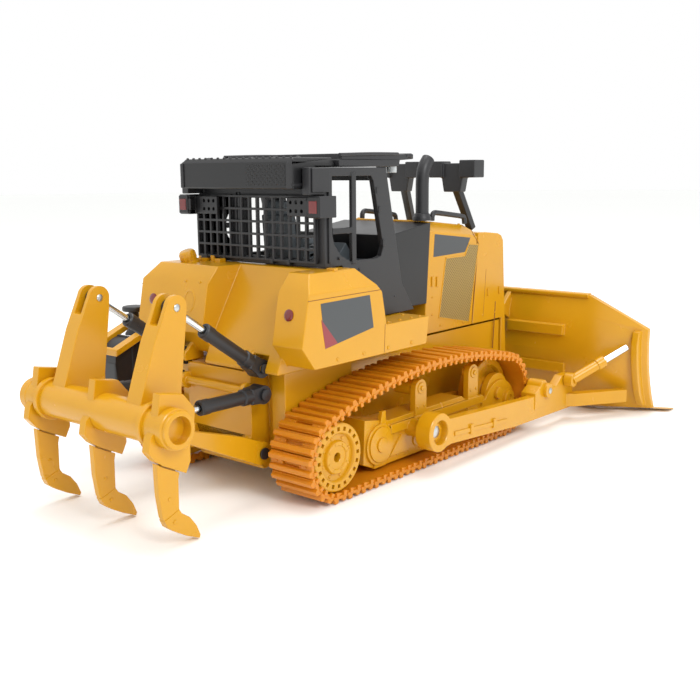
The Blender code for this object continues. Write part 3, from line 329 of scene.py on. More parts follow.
def make_materials():
    """Every finish on the machine, each named for what the real surface is."""
    chosen = colours()
    body = tuple(chosen.body)
    dark = tuple(chosen.dark)
    # Gloss ABS straight from a polished tool: a soft clear highlight over one even, deep yellow.
    _, shader, _, _ = moulded("moulded_abs_yellow", body, 0.26, 1.53)
    shader.inputs["Subsurface Weight"].default_value = 0.06
    shader.inputs["Subsurface Radius"].default_value = (1.0, 0.45, 0.1)
    shader.inputs["Subsurface Scale"].default_value = 1.5 * MM
    # The same ABS in the shadow of a parting line: a thin warm brown line between two panels.
    moulded("moulded_abs_seam", linear("7A4300"), 0.7, 1.53)
    # Soft PVC track pads: deeper orange and more matt than the body, so that edges blur a little.
    _, shader, _, _ = moulded("moulded_pvc_track", tuple(chosen.track), 0.42, 1.52, mottle_mm=9.0,
        contrast=0.08)
    shader.inputs["Subsurface Weight"].default_value = 0.12
    shader.inputs["Subsurface Radius"].default_value = (1.0, 0.4, 0.08)
    shader.inputs["Subsurface Scale"].default_value = 1.5 * MM
    # Satin black ABS from a spark-etched tool: an even dark grey with a broad dull sheen.
    moulded("moulded_abs_black", dark, 0.42, 1.52, grain_mm=0.35, relief_mm=0.02, contrast=0.1)
    # The roof box and deck are smoother; their darker colour is painted shade, a darker copy of the black
    # for how they look away from the light.
    moulded("moulded_abs_black_painted_shade", shaded(dark, 0.45), 0.36, 1.52, contrast=0.08)
    moulded("moulded_abs_grey", linear("565D62"), 0.5, 1.5)
    # The olive screen and the roof box's grille are fields of holes about 1 mm apart; the dark inside each
    # hole is painted shade.
    perforated("moulded_screen_olive", linear("A68A48"), linear("6A5526"), 0.5, 1.15, "y", 0.26)
    # The grille's base is the same darker black as the roof box: painted shade.
    perforated("moulded_grille_black", shaded(dark, 0.5), linear("0B0B0C"), 0.42, 1.7, "x", 0.26)
    # Hard chrome on the cylinder rods: a bright band where it mirrors the studio.
    plated("chrome_plated_steel", linear("DDE3E6"), 0.14, 0.8)
    # Bright zinc on screws and pin heads: duller and a little warm.
    plated("zinc_plated_steel", linear("C4C7C6"), 0.3, 0.5)
    # Pad-printed ink: flat, even, slightly less glossy than the plastic under it.
    moulded("printed_ink_charcoal", tuple(chosen.decal), 0.38, 1.48, grain_mm=0.8, contrast=0.05)
    moulded("printed_ink_red", linear("8E3A3E"), 0.4, 1.48, grain_mm=0.8, contrast=0.05)
    moulded("printed_ink_grey", linear("D4D6D4"), 0.42, 1.48, grain_mm=0.8, contrast=0.05)
    # Clear red acrylic: saturated colour under a hard glossy skin.
    _, shader, _, _ = moulded("acrylic_lens_red", tuple(chosen.lens), 0.2, 1.49, relief_mm=0.004)
    shader.inputs["Coat Weight"].default_value = 0.6
    shader.inputs["Coat Roughness"].default_value = 0.06
    _, shader, _, _ = moulded("acrylic_lens_clear", linear("B9BDBE"), 0.12, 1.49, relief_mm=0.004)
    shader.inputs["Coat Weight"].default_value = 0.6
    shader.inputs["Coat Roughness"].default_value = 0.06
    # Solder mask over glass fibre, and the shrink wrap round the cells.
    moulded("solder_mask_green", linear("2C6438"), 0.4, 1.55, grain_mm=0.3)
    moulded("shrink_wrap_blue", linear("37465E"), 0.35, 1.5, grain_mm=1.2, relief_mm=0.05)
    # Matt studio floor, almost white.
    moulded("painted_floor", linear("FDFEFC"), 0.8, 1.45, mottle_mm=400.0, grain_mm=6.0, contrast=0.004)


# ------------------------------------------------------------------ shapes, in millimetres


def closed(mesh):
    bmesh.ops.recalc_face_normals(mesh, faces=mesh.faces)
    return mesh


def extrude(outline, axis, low, high):
    """A flat outline pushed along one axis. The outline's pairs are the other two axes in order."""
    order = {"x": (1, 2, 0), "y": (0, 2, 1), "z": (0, 1, 2)}[axis]
    mesh = bmesh.new()
    rings = []
    for level in (low, high):
        ring = []
        for a, b in outline:
            point = [0.0, 0.0, 0.0]
            point[order[0]] = a
            point[order[1]] = b
            point[order[2]] = level
            ring.append(mesh.verts.new(point))
        rings.append(ring)
    mesh.faces.new(rings[0])
    mesh.faces.new(rings[1])
    for i in range(len(outline)):
        j = (i + 1) % len(outline)
        mesh.faces.new((rings[0][i], rings[0][j], rings[1][j], rings[1][i]))
    return closed(mesh)


def block(x0, x1, y0, y1, z0, z1, edge=0.0):
    """A box with its edges rounded by edge."""
    x0, x1 = sorted((x0, x1))
    y0, y1 = sorted((y0, y1))
    made = extrude([(x0, y0), (x1, y0), (x1, y1), (x0, y1)], "z", z0, z1)
    return rounded(made, edge) if edge else made


def loft(rings, caps=True):
    """A skin through rings that have the same number of points."""
    mesh = bmesh.new()
    made = [[mesh.verts.new(point) for point in ring] for ring in rings]
    if caps:
        mesh.faces.new(made[0])
        mesh.faces.new(made[-1])
    for near, far in zip(made, made[1:]):
        for i in range(len(near)):
            j = (i + 1) % len(near)
            mesh.faces.new((near[i], near[j], far[j], far[i]))
    return closed(mesh)


def arc(x, z, radius, start, end, steps):
    """Points on a circle, from one angle in degrees to another."""
    turn = [radians(start + (end - start) * i / steps) for i in range(steps + 1)]
    return [(x + radius * cos(angle), z + radius * sin(angle)) for angle in turn]


def spun(profile, origin, axis, steps=40):
    """A solid turned round an axis, from (distance along it, radius) pairs whose ends are on it."""
    axis = Vector(axis).normalized()
    origin = Vector(origin)
    side = axis.orthogonal().normalized()
    across = axis.cross(side)
    mesh = bmesh.new()
    first = mesh.verts.new(origin + axis * profile[0][0])
    last = mesh.verts.new(origin + axis * profile[-1][0])
    rings = []
    for i in range(steps):
        angle = 2 * pi * i / steps
        way = side * cos(angle) + across * sin(angle)
        rings.append([mesh.verts.new(origin + axis * along + way * r) for along, r in profile[1:-1]])
    for i in range(steps):
        here = rings[i]
        there = rings[(i + 1) % steps]
        mesh.faces.new((first, here[0], there[0]))
        mesh.faces.new((last, there[-1], here[-1]))
        for k in range(len(here) - 1):
            mesh.faces.new((here[k], here[k + 1], there[k + 1], there[k]))
    return closed(mesh)


def rod(start, end, radius, edge=0.2, steps=32):
    """A round bar between two points, with its end edges eased."""
    start = Vector(start)
    end = Vector(end)
    length = (end - start).length
    profile = [
        (0.0, 0.0), (0.0, radius - edge), (edge * 0.3, radius - edge * 0.3), (edge, radius),
        (length - edge, radius), (length - edge * 0.3, radius - edge * 0.3), (length, radius - edge),
        (length, 0.0),
    ]
    return spun(profile, start, end - start, steps)


def pin(x, z, radius, y0, y1, edge=0.2, steps=32):
    """A round bar along y."""
    return rod((x, min(y0, y1), z), (x, max(y0, y1), z), radius, edge, steps)


def smooth_path(points, steps=6):
    """A Catmull-Rom curve through points."""
    path = [Vector(p) for p in points]
    path = [2 * path[0] - path[1], *path, 2 * path[-1] - path[-2]]
    made = []
    for a, b, c, d in zip(path, path[1:], path[2:], path[3:]):
        for i in range(steps):
            t = i / steps
            made.append(
                0.5 * (
                    2 * b + (c - a) * t + (2 * a - 5 * b + 4 * c - d) * t**2
                    + (3 * b - a - 3 * c + d) * t**3
                )
            )
    return [*made, path[-2]]


def pipe(points, radius, steps=20, sections=6):
    """A round bar along a smooth curve through points, with rounded ends."""
    path = smooth_path(points, sections)
    rings = []
    side = None
    last = len(path) - 1
    for i, point in enumerate(path):
        along = (path[min(i + 1, last)] - path[max(i - 1, 0)]).normalized()
        if side is None:
            side = along.orthogonal().normalized()
        else:
            side = (side - along * side.dot(along)).normalized()
        across = along.cross(side)
        circle = [side * cos(2 * pi * k / steps) + across * sin(2 * pi * k / steps) for k in range(steps)]
        if i == 0:
            rings.append([point - along * radius * 0.15 + way * radius * 0.75 for way in circle])
        rings.append([point + way * radius for way in circle])
        if i == last:
            rings.append([point + along * radius * 0.15 + way * radius * 0.75 for way in circle])
    return loft(rings)


def rounded(mesh, width, angle=32.0, segments=2):
    """Rounds every edge that is sharper than angle, apart from those too short to take it."""
    bmesh.ops.dissolve_limit(mesh, angle_limit=radians(0.6), verts=mesh.verts, edges=mesh.edges)
    sharp = [
        edge for edge in mesh.edges
        if len(edge.link_faces) == 2
        and edge.calc_face_angle(0.0) > radians(angle)
        and edge.calc_length() > 2.2 * width
    ]
    bmesh.ops.bevel(
        mesh, geom=sharp, offset=width, offset_type="OFFSET", segments=segments, profile=0.5, affect="EDGES",
        clamp_overlap=False,
    )
    return mesh


def joined(*meshes):
    """Several shapes as one."""
    whole = bmesh.new()
    for mesh in meshes:
        data = bpy.data.meshes.new("scratch")
        mesh.to_mesh(data)
        mesh.free()
        whole.from_mesh(data)
        bpy.data.meshes.remove(data)
    return whole


def mirrored(mesh):
    """The same shape on the other side of the machine."""
    other = mesh.copy()
    bmesh.ops.scale(other, vec=(1, -1, 1), verts=other.verts)
    bmesh.ops.reverse_faces(other, faces=other.faces)
    return other


def scratch_object(mesh):
    data = bpy.data.meshes.new("scratch")
    mesh.to_mesh(data)
    mesh.free()
    made = bpy.data.objects.new("scratch", data)
    bpy.context.scene.collection.objects.link(made)
    return made


def cut(base, *tools):
    """The base with every tool's volume taken out."""
    target = scratch_object(base)
    other = scratch_object(joined(*tools))
    modifier = target.modifiers.new("cut", "BOOLEAN")
    modifier.operation = "DIFFERENCE"
    modifier.solver = "EXACT"
    modifier.use_self = True
    modifier.object = other
    bpy.context.view_layer.update()
    result = bmesh.new()
    result.from_mesh(target.evaluated_get(bpy.context.evaluated_depsgraph_get()).data)
    for thing in (target, other):
        data = thing.data
        bpy.data.objects.remove(thing, do_unlink=True)
        bpy.data.meshes.remove(data)
    bmesh.ops.remove_doubles(result, verts=result.verts, dist=0.002)
    return result


def studs(places, axis, radius=None, height=0.5):
    """Low domed bolt heads standing along an axis, joined as one shape."""
    radius = radius or sizes().bolt_radius
    profile = [
        (-0.3, 0.0), (-0.3, radius), (height * 0.45, radius), (height * 0.8, radius * 0.8),
        (height, radius * 0.45),
        (height, 0.0),
    ]
    return joined(*[spun(profile, place, axis, 16) for place in places])


def seam(points, axis, level, width=None, lift=0.04):
    """A thin line along points on a flat face. The pairs are the other two axes in order."""
    half = (width or sizes().seam_width) / 2
    strips = []
    for (a0, b0), (a1, b1) in zip(points, points[1:]):
        length = hypot(a1 - a0, b1 - b0)
        ua, ub = (a1 - a0) / length, (b1 - b0) / length
        corners = [
            (a0 - ua * half - ub * half, b0 - ub * half + ua * half),
            (a1 + ua * half - ub * half, b1 + ub * half + ua * half),
            (a1 + ua * half + ub * half, b1 + ub * half - ua * half),
            (a0 - ua * half + ub * half, b0 - ub * half - ua * half),
        ]
        strips.append(extrude(corners, axis, level - lift, level + lift))
    return joined(*strips)


def placed(mesh):
    """Machine millimetres to the frame's metres."""
    bmesh.ops.translate(mesh, vec=(-MIDDLE_X, 0, 0), verts=mesh.verts)
    bmesh.ops.scale(mesh, vec=(MM, MM, MM), verts=mesh.verts)
    return mesh


def piece(name, mesh, finish, body, replaces=(), smooth_angle=38.0):
    """Makes a finished piece from a shape and hangs it on its body."""
    if not mesh.faces:
        raise RuntimeError(name + " has no faces")
    data = bpy.data.meshes.new(name)
    placed(mesh).to_mesh(data)
    mesh.free()
    data.shade_smooth()
    data.set_sharp_from_angle(angle=radians(smooth_angle))
    data.materials.append(MATERIALS[finish])
    made = bpy.data.objects.new(name, data)
    bpy.context.scene.collection.objects.link(made)
    flat = made.modifiers.new("flat faces", "WEIGHTED_NORMAL")
    flat.keep_sharp = True
    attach(made, body)
    if replaces:
        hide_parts(*replaces)
    return made


def pair(name, mesh, finish, bodies, replaces=None, smooth_angle=38.0):
    """A right-hand piece and its mirrored left-hand twin. bodies and replaces may end in a side."""
    twins = {"right": mesh, "left": mirrored(mesh)}
    for side, _ in SIDES:
        body = bodies + side if bodies.endswith("_") else bodies
        stands_for = (replaces + "_" + side,) if replaces else ()
        piece(name + "_" + side, twins[side], finish, body, stands_for, smooth_angle)


def node_shape(node):
    """A node's own mesh, welded and back in machine millimetres."""
    mesh = bmesh.new()
    mesh.from_mesh(frame["nodes"][node].data)
    bmesh.ops.remove_doubles(mesh, verts=mesh.verts, dist=0.002 * MM)
    bmesh.ops.scale(mesh, vec=(1 / MM, 1 / MM, 1 / MM), verts=mesh.verts)
    bmesh.ops.translate(mesh, vec=(MIDDLE_X, 0, 0), verts=mesh.verts)
    return mesh


def softened(node, finish, width=None, angle=32.0):
    """A node's shape with its hard edges rounded, standing in for it."""
    mesh = rounded(node_shape(node), width or sizes().edge_round, angle)
    return piece(node + "_finish", mesh, finish, frame["nodes"][node]["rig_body"], (node,))


# ------------------------------------------------------------------ undercarriage


def belt_line(inset):
    """The belt's outline as arcs and one line, moved in by inset. The upper run is one long arch."""
    rear_x, rear_r = REAR_WHEEL
    front_x, front_r = FRONT_WHEEL
    rear_rise = sqrt(ARCH_TOP - 2 * rear_r)
    front_rise = sqrt(ARCH_TOP - 2 * front_r)
    arch_x = (front_x - rear_x) * rear_rise / (rear_rise + front_rise)
    arch_r = (arch_x / rear_rise) ** 2 / 2 + ARCH_TOP / 2
    arch_z = ARCH_TOP - arch_r
    rear_top = atan2(rear_r - arch_z, rear_x - arch_x)
    front_top = atan2(front_r - arch_z, front_x - arch_x)
    return [
        ("arc", rear_x, rear_r, rear_r - inset, rear_top, 3 * pi / 2),
        ("line", rear_x, inset, front_x, inset, 0.0),
        ("arc", front_x, front_r, front_r - inset, -pi / 2, front_top),
        ("arc", arch_x, arch_z, arch_r - inset, front_top, rear_top),
    ]


def run_length(run):
    kind, a, b, c, d, e = run
    return abs(e - d) * c if kind == "arc" else hypot(c - a, d - b)


def belt_point(line, distance):
    """The point and the outward direction at a distance round the belt."""
    for run in line:
        kind, a, b, c, d, e = run
        length = run_length(run)
        if distance > length:
            distance -= length
            continue
        share = distance / length
        if kind == "arc":
            angle = d + (e - d) * share
            return (a + c * cos(angle), b + c * sin(angle)), (cos(angle), sin(angle))
        along = ((c - a) / length, (d - b) / length)
        return (a + (c - a) * share, b + (d - b) * share), (along[1], -along[0])
    return belt_point(line, 0.0)


def track_shoe(pitch):
    """One shoe lying flat: x along the belt, z outward, with its two ribs and the mud slot between them."""
    low, high = -TRACK_OUTER, -TRACK_INNER
    half = pitch / 2
    slot_low, slot_high = low + 6.4, high - 6.4
    back, front = -0.1 * pitch, 0.08 * pitch
    parts = [
        block(-half + 0.2, back, low, high, -1.0, 0.25, 0.15),
        block(front, half - 0.2, low, high, -1.0, 0.25, 0.15),
        block(back - 0.3, front + 0.3, low, slot_low, -1.0, 0.25, 0.15),
        block(back - 0.3, front + 0.3, slot_high, high, -1.0, 0.25, 0.15),
    ]
    for start, height in ((-0.44, GROUSER * 0.82), (0.1, GROUSER)):
        rib = [
            (start * pitch, 0.1), ((start + 0.05) * pitch, height), ((start + 0.27) * pitch, height),
            ((start + 0.33) * pitch, 0.1),
        ]
        parts.append(rounded(extrude(rib, "y", low, high), 0.3))
    for x in (-0.3, 0.22):
        parts.append(block(x * pitch - 0.8, x * pitch + 0.8, low - 0.35, low + 0.8, -2.6, -0.7, 0.15))
        parts.append(block(x * pitch - 0.8, x * pitch + 0.8, high - 0.8, high + 0.35, -2.6, -0.7, 0.15))
    for y in (low + 4.6, high - 4.6):
        parts.append(studs([(0.0, y - 1.4, 0.25), (0.0, y + 1.4, 0.25)], (0, 0, 1), 0.5, 0.3))
    return joined(*parts)


def track_belt():
    """The loop of shoes on a thin band with drive ribs inside."""
    line = belt_line(GROUSER)
    total = sum(run_length(run) for run in line)
    pitch = total / SHOES
    shoe = track_shoe(pitch)
    shoes = []
    for index in range(SHOES):
        (x, z), (nx, nz) = belt_point(line, (index + 0.5) * pitch)
        turn = Matrix(((nz, 0, nx, x), (0, 1, 0, 0), (-nx, 0, nz, z), (0, 0, 0, 1)))
        copy = shoe.copy()
        bmesh.ops.transform(copy, matrix=turn, verts=copy.verts)
        shoes.append(copy)
    shoe.free()
    outer_line, inner_line = belt_line(GROUSER + 0.7), belt_line(GROUSER + BELT_THICK)
    steps = SHOES * 6
    rings = []
    for y, use in (
        (-TRACK_OUTER + 0.6, inner_line), (-TRACK_OUTER + 0.6, outer_line),
        (-TRACK_INNER - 0.6, outer_line), (-TRACK_INNER - 0.6, inner_line),
    ):
        length = sum(run_length(run) for run in use)
        points = [belt_point(use, length * i / steps)[0] for i in range(steps)]
        rings.append([(px, y, pz) for px, pz in points])
    band = loft([*rings, rings[0]], caps=False)
    bmesh.ops.remove_doubles(band, verts=band.verts, dist=0.001)
    return joined(closed(band), *shoes)


def drive_sprocket():
    """A dished wheel: a ring of square windows, a recessed band, a raised hub ring and a bore."""
    x, z = REAR_WHEEL
    rim = z - GROUSER - BELT_THICK - 0.6
    face = -TRACK_OUTER + 0.8
    profile = [
        (face + 6.0, 0.0), (face + 6.0, 1.9), (face + 0.9, 1.9), (face + 0.7, 2.1), (face + 0.7, 4.6),
        (face + 0.2, 4.9), (face + 0.2, 6.3), (face + 0.5, 6.6), (face + 1.6, 6.9), (face + 1.6, 9.2),
        (face + 0.3, 9.7), (face + 0.1, 10.0), (face, 10.2), (face, rim - 0.9), (face + 0.2, rim - 0.4),
        (face + 0.5, rim - 0.15), (face + 0.9, rim), (face + 4.0, rim), (face + 4.3, rim - 0.8),
        (-TRACK_INNER - 3.0, rim - 0.8), (-TRACK_INNER - 2.7, rim), (-TRACK_INNER - 1.2, rim),
        (-TRACK_INNER - 1.0, rim - 0.2), (-TRACK_INNER - 1.0, 6.0), (HULL_SIDE, 6.0), (HULL_SIDE, 0.0),
    ]
    wheel = spun(profile, (x, 0, z), (0, 1, 0), 80)
    windows = []
    for index in range(20):
        turn = Matrix.Translation((x, 0, z)) @ Matrix.Rotation(2 * pi * index / 20, 4, "Y")
        window = block(-0.75, 0.75, face - 1, face + 1.6, 10.7, 12.3)
        bmesh.ops.transform(window, matrix=turn, verts=window.verts)
        windows.append(window)
    wheel = cut(wheel, *windows)
    angles = [2 * pi * k / 8 + 0.3 for k in range(8)]
    bolts = [(x + 8.0 * cos(a), face + 1.6, z + 8.0 * sin(a)) for a in angles]
    hub = [(x + 5.6 * cos(a), face + 0.2, z + 5.6 * sin(a)) for a in angles]
    return joined(wheel, studs(bolts, (0, -1, 0), 0.7, 0.5), studs(hub, (0, -1, 0), 0.4, 0.3))


def front_idler():
    """The plain front wheel: a heavy rim, a thin web with a step in it, and a bored hub."""
    x, z = FRONT_WHEEL
    rim = z - GROUSER - BELT_THICK - 0.6
    outer, inner = -42.0, -35.0
    profile = [
        (outer + 1.0, 0.0), (outer + 1.0, 3.4), (outer + 0.2, 3.6), (outer, 3.9), (outer, 6.6),
        (outer + 0.3, 7.0),
        (outer + 2.0, 7.6), (outer + 2.0, rim - 4.2), (outer + 0.3, rim - 3.4), (outer, rim - 3.0),
        (outer, rim - 0.4),
        (outer + 0.4, rim), (inner - 0.4, rim), (inner, rim - 0.4), (inner, rim - 3.0),
        (inner - 1.6, rim - 3.8),
        (inner - 1.6, 7.4), (inner, 6.8), (inner, 3.4), (inner - 1.0, 3.4), (inner - 1.0, 0.0),
    ]
    return spun(profile, (x, 0, z), (0, 1, 0), 72)


def frame_details():
    """Bolts, pads and guards on the track frame's outer face."""
    face = FRAME_FACE
    parts = []
    for x in (62.0, 104.0):
        parts.append(pin(x, 34.2, 2.6, face - 1.5, face - 0.6, 0.3))
        parts.append(pin(x, 34.2, 1.1, face - 2.1, face - 1.2, 0.2, 20))
        parts.append(studs([(x - 2.4, face - 1.0, 26.0), (x + 2.4, face - 1.0, 26.0)], (0, -1, 0), 0.7, 0.4))
    parts.append(pin(33, 15, 7.6, face - 1.9, face - 1.0, 0.4, 48))
    parts.append(pin(33, 15, 3.2, face - 2.6, face - 1.6, 0.3, 32))
    fin = [(29, 5.2), (37, 5.2), (37, 29), (34.6, 29)]
    parts.append(rounded(extrude(fin, "y", face - 0.9, face + 1.0), 0.25))
    wedge = [(40, 8), (54, 8), (48, 16.4)]
    parts.append(rounded(extrude(wedge, "y", face - 0.8, face + 0.5), 0.25))
    dome = [(112, 6), (150, 6), (150, 12), *arc(127.5, 12.0, 14.6, 8, 150, 14), (112, 19)]
    shell = rounded(extrude(dome, "y", face - 1.3, face + 0.6), 0.3)
    parts.append(shell)
    parts.append(spun(
        [(-1.0, 0.0), (-1.0, 4.4), (2.4, 4.4), (2.9, 4.1), (3.0, 3.7), (3.0, 2.1), (2.2, 1.9), (2.2, 0.0)],
        (135, face, 16), (0, -1, 0), 40,
    ))
    parts.append(studs(
        [(x, face - 0.1, 21.2) for x in (48, 56, 72, 80, 90, 97)],
        (0, -1, 0), 0.65, 0.4,
    ))
    parts.append(studs([(x, face, 7.4) for x in range(46, 112, 8)], (0, -1, 0), 0.55, 0.35))
    for x in (60.0, 74.0, 88.0):
        parts.append(pin(x, 11.4, 3.0, face - 0.7, face + 0.6, 0.3, 36))
        parts.append(pin(x, 11.4, 1.3, face - 1.1, face, 0.2, 24))
    return joined(*parts)


class BulldozerTracks(bpy.types.Operator):
    """Builds both track belts from their shoes"""

    bl_idname = "bulldozer.tracks"
    bl_label = "Track belts"

    def execute(self, context):
        pair("track_belt_shoes", track_belt(), "moulded_pvc_track", "chassis", "track_belt")
        return {"FINISHED"}


class BulldozerWheels(bpy.types.Operator):
    """Builds the drive sprockets and the front idlers"""

    bl_idname = "bulldozer.wheels"
    bl_label = "Wheels"

    def execute(self, context):
        pair("sprocket_wheel", drive_sprocket(), "moulded_abs_yellow", "sprocket_", "drive_sprocket")
        pair("idler_wheel", front_idler(), "moulded_abs_yellow", "idler_", "front_idler")
        return {"FINISHED"}


class BulldozerTrackFrames(bpy.types.Operator):
    """Rounds the track frames and adds their bolts and guards"""

    bl_idname = "bulldozer.track_frames"
    bl_label = "Track frames"

    def execute(self, context):
        for side, _ in SIDES:
            softened("track_frame_" + side, "moulded_abs_yellow")
        pair("track_frame_details", frame_details(), "moulded_abs_yellow", "chassis")
        return {"FINISHED"}


# ------------------------------------------------------------------ body


def rear_body_details():
    """Bolt rows, the oval cover and the small fittings that stand on both fenders."""
    slope_top = 90.0
    parts = []
    row = [(x, 56.2) for x in (4, 20, 36, 52)]
    for side in (-1, 1):
        parts.append(studs([(x, side * FENDER_OUTER, z) for x, z in row], (0, side, 0), 0.8, 0.45))
        parts.append(studs(
            [(x, side * 45.8, 66.0) for x in (40, 48, 56, 62)] + [(x, side * 38.2, 66.0) for x in (42, 60)],
            (0, 0, 1), 0.7, 0.45,
        ))
    cover_x, cover_y, cover_z = -13.3, 17.0, 75.6
    tilt = Vector((-20.0, 0.0, 4.0)).normalized()
    outline = []
    for k in range(40):
        angle = 2 * pi * k / 40
        outline.append((3.5 * cos(angle), 5.0 * sin(angle)))
    up = Vector((4.0, 0.0, 20.0)).normalized()
    rings = []
    for lift, scale in ((-0.3, 1.0), (0.22, 1.0), (0.36, 0.94), (0.36, 0.82), (0.12, 0.76), (0.12, 0.1)):
        centre = Vector((cover_x, cover_y, cover_z)) + tilt * lift
        rings.append([centre + Vector((0, a * scale, 0)) + up * (b * scale) for a, b in outline])
    parts.append(loft(rings))
    dots = [(cover_x + 1.9, cover_y + dy, cover_z + 8.4) for dy in (-5.2, 3.8)]
    parts.append(studs([(x - 0.35, y, z - 0.4) for x, y, z in dots], tilt, 0.45, 0.3))
    parts.append(studs([(14.0, y, slope_top) for y in (40.5, 36.5)], (0, 0, 1), 1.0, 1.3))
    parts.append(block(5.5, 9.0, 18.5, 22.0, slope_top - 0.2, slope_top + 1.6, 0.3))
    parts.append(rod((9.4, 27.0, slope_top - 0.2), (9.4, 27.0, slope_top + 2.4), 1.2, 0.3))
    parts.append(block(6.5, 10.5, 30.0, 33.0, slope_top - 0.2, slope_top + 1.2, 0.3))
    parts.append(block(8.0, 10.4, -44.0, -40.0, slope_top - 0.2, slope_top + 0.9, 0.25))
    return joined(*parts)


def filler_cap():
    """The ribbed filler cap, which leans back on the tank's sloping shoulder."""
    axis = Vector((-0.35, 0.05, 1.0)).normalized()
    base = Vector((1.4, 33.0, 89.6))
    cap = spun(
        [(-1.2, 0.0), (-1.2, 4.1), (0.5, 4.1), (0.8, 3.5), (1.4, 3.4), (4.6, 3.4), (5.2, 3.1), (5.5, 2.6),
            (5.5, 0.0)],
        base, axis, 48,
    )
    side = axis.orthogonal().normalized()
    across = axis.cross(side)
    ribs = []
    for k in range(14):
        way = side * cos(2 * pi * k / 14) + across * sin(2 * pi * k / 14)
        ribs.append(rod(base + way * 3.35 + axis * 1.6, base + way * 3.35 + axis * 4.5, 0.32, 0.1, 8))
    return joined(cap, *ribs)


def tilted_quad(corners, normal, lift=0.06, round_by=0.0):
    """A thin sheet on a face, from its corners and the way that it looks."""
    way = Vector(normal).normalized()
    sheet = [[Vector(c) - way * 0.2 for c in corners], [Vector(c) + way * lift for c in corners]]
    return loft(sheet)


def fender_decal(side):
    """The dark printed panel on a fender's outer face."""
    y = side * FENDER_OUTER
    corners = [(-5.6, y, 79.0), (23.8, y, 79.4), (26.2, y, 66.0), (-3.2, y, 61.4)]
    return tilted_quad(corners, (0, side, 0))


def fender_stripe(side):
    """The red flash along the panel's lower rear corner."""
    y = side * FENDER_OUTER
    corners = [(-5.4, y, 73.0), (4.0, y, 62.6), (-3.2, y, 61.5)]
    return tilted_quad(corners, (0, side, 0), 0.1)


def reflector(side):
    """A round red reflector on a fender's rear face, square to the face."""
    normal = Vector((-20.0, 0.0, 4.0)).normalized()
    centre = Vector((-13.7, side * 40.2, 74.8))
    profile = [(-0.4, 0.0), (-0.4, 2.3), (0.25, 2.3), (0.5, 1.9), (0.62, 1.2), (0.66, 0.0)]
    return spun(profile, centre, normal, 36)


def body_seams():
    """Parting lines on the fenders."""
    parts = []
    for side in (-1, 1):
        y = side * FENDER_OUTER
        parts.append(seam([(-12.4, 80.6), (31.0, 80.8)], "y", y, 0.25))
        parts.append(seam([(33.8, 66.4), (33.2, 54.6)], "y", y, 0.25))
    return joined(*parts)


class BulldozerChassis(bpy.types.Operator):
    """Rounds the hull, the battery door and what is inside"""

    bl_idname = "bulldozer.chassis"
    bl_label = "Chassis"

    def execute(self, context):
        softened("chassis_hull", "moulded_abs_yellow")
        softened("belly_cover", "moulded_abs_yellow")
        softened("drive_gearbox", "moulded_abs_grey")
        softened("circuit_board", "solder_mask_green")
        softened("battery_pack", "shrink_wrap_blue")
        softened("power_switch", "moulded_abs_black")
        screws = [(x, side * 13.4, 8.85) for x in (39, 97) for side in (-1, 1)]
        piece("belly_screws", studs(screws, (0, 0, -1), 1.4, 0.3), "zinc_plated_steel", "chassis")
        eyes = []
        for side in (-1, 1):
            eyes.append(pin(*RIPPER_PIVOT, 2.4, side * 26.0, side * 25.7 + side * 1.2))
            eyes.append(pin(*LIFT_EYE, 2.3, side * 28.2, side * 29.2))
            eyes.append(pin(*TILT_EYE, 2.0, side * 26.0, side * 27.0))
        piece("hinge_pin_heads", joined(*eyes), "moulded_abs_black", "chassis")
        return {"FINISHED"}


class BulldozerRearBody(bpy.types.Operator):
    """Rounds the fenders and tank, and adds their decals, reflectors, bolts and filler cap"""

    bl_idname = "bulldozer.rear_body"
    bl_label = "Rear body"

    def execute(self, context):
        softened("rear_body", "moulded_abs_yellow", 0.45)
        piece("rear_body_fittings", rear_body_details(), "moulded_abs_yellow", "chassis")
        piece("filler_cap", filler_cap(), "moulded_abs_yellow", "chassis", ("fuel_cap",))
        for side, sign in SIDES:
            piece("fender_panel_" + side, fender_decal(sign), "printed_ink_charcoal", "chassis")
            piece("fender_flash_" + side, fender_stripe(sign), "printed_ink_red", "chassis")
            piece("reflector_" + side, reflector(sign), "acrylic_lens_red", "chassis")
        piece("body_seams", body_seams(), "moulded_abs_seam", "chassis")
        return {"FINISHED"}


# ------------------------------------------------------------------ hood and nose


def hood_decal(side):
    """The dark printed panel high on the hood's side."""
    y = side * HOOD_HALF
    corners = [(102.6, y, 98.4), (133.4, y, 95.0), (128.6, y, 88.2), (101.6, y, 87.6)]
    return tilted_quad(corners, (0, side, 0))


def hood_screen(side):
    """The stepped screen of fine holes below the panel."""
    y = side * HOOD_HALF
    outline = [(112, 86.4), (128.8, 86.4), (131.6, 92.0), (141.0, 91.2), (133.0, 52.6), (106.6, 58.0)]
    way = Vector((0, side, 0))
    rings = [[Vector((x, y, z)) + way * depth for x, z in outline] for depth in (-0.2, 0.1)]
    return loft(rings)


def screen_frame(side):
    """A raised moulded edge round the screen."""
    y = side * (HOOD_HALF + 0.05)
    outline = [(112, 86.4), (128.8, 86.4), (131.6, 92.0), (141.0, 91.2), (133.0, 52.6), (106.6, 58.0),
        (112, 86.4)]
    return seam(outline, "y", y, 0.6, 0.16)


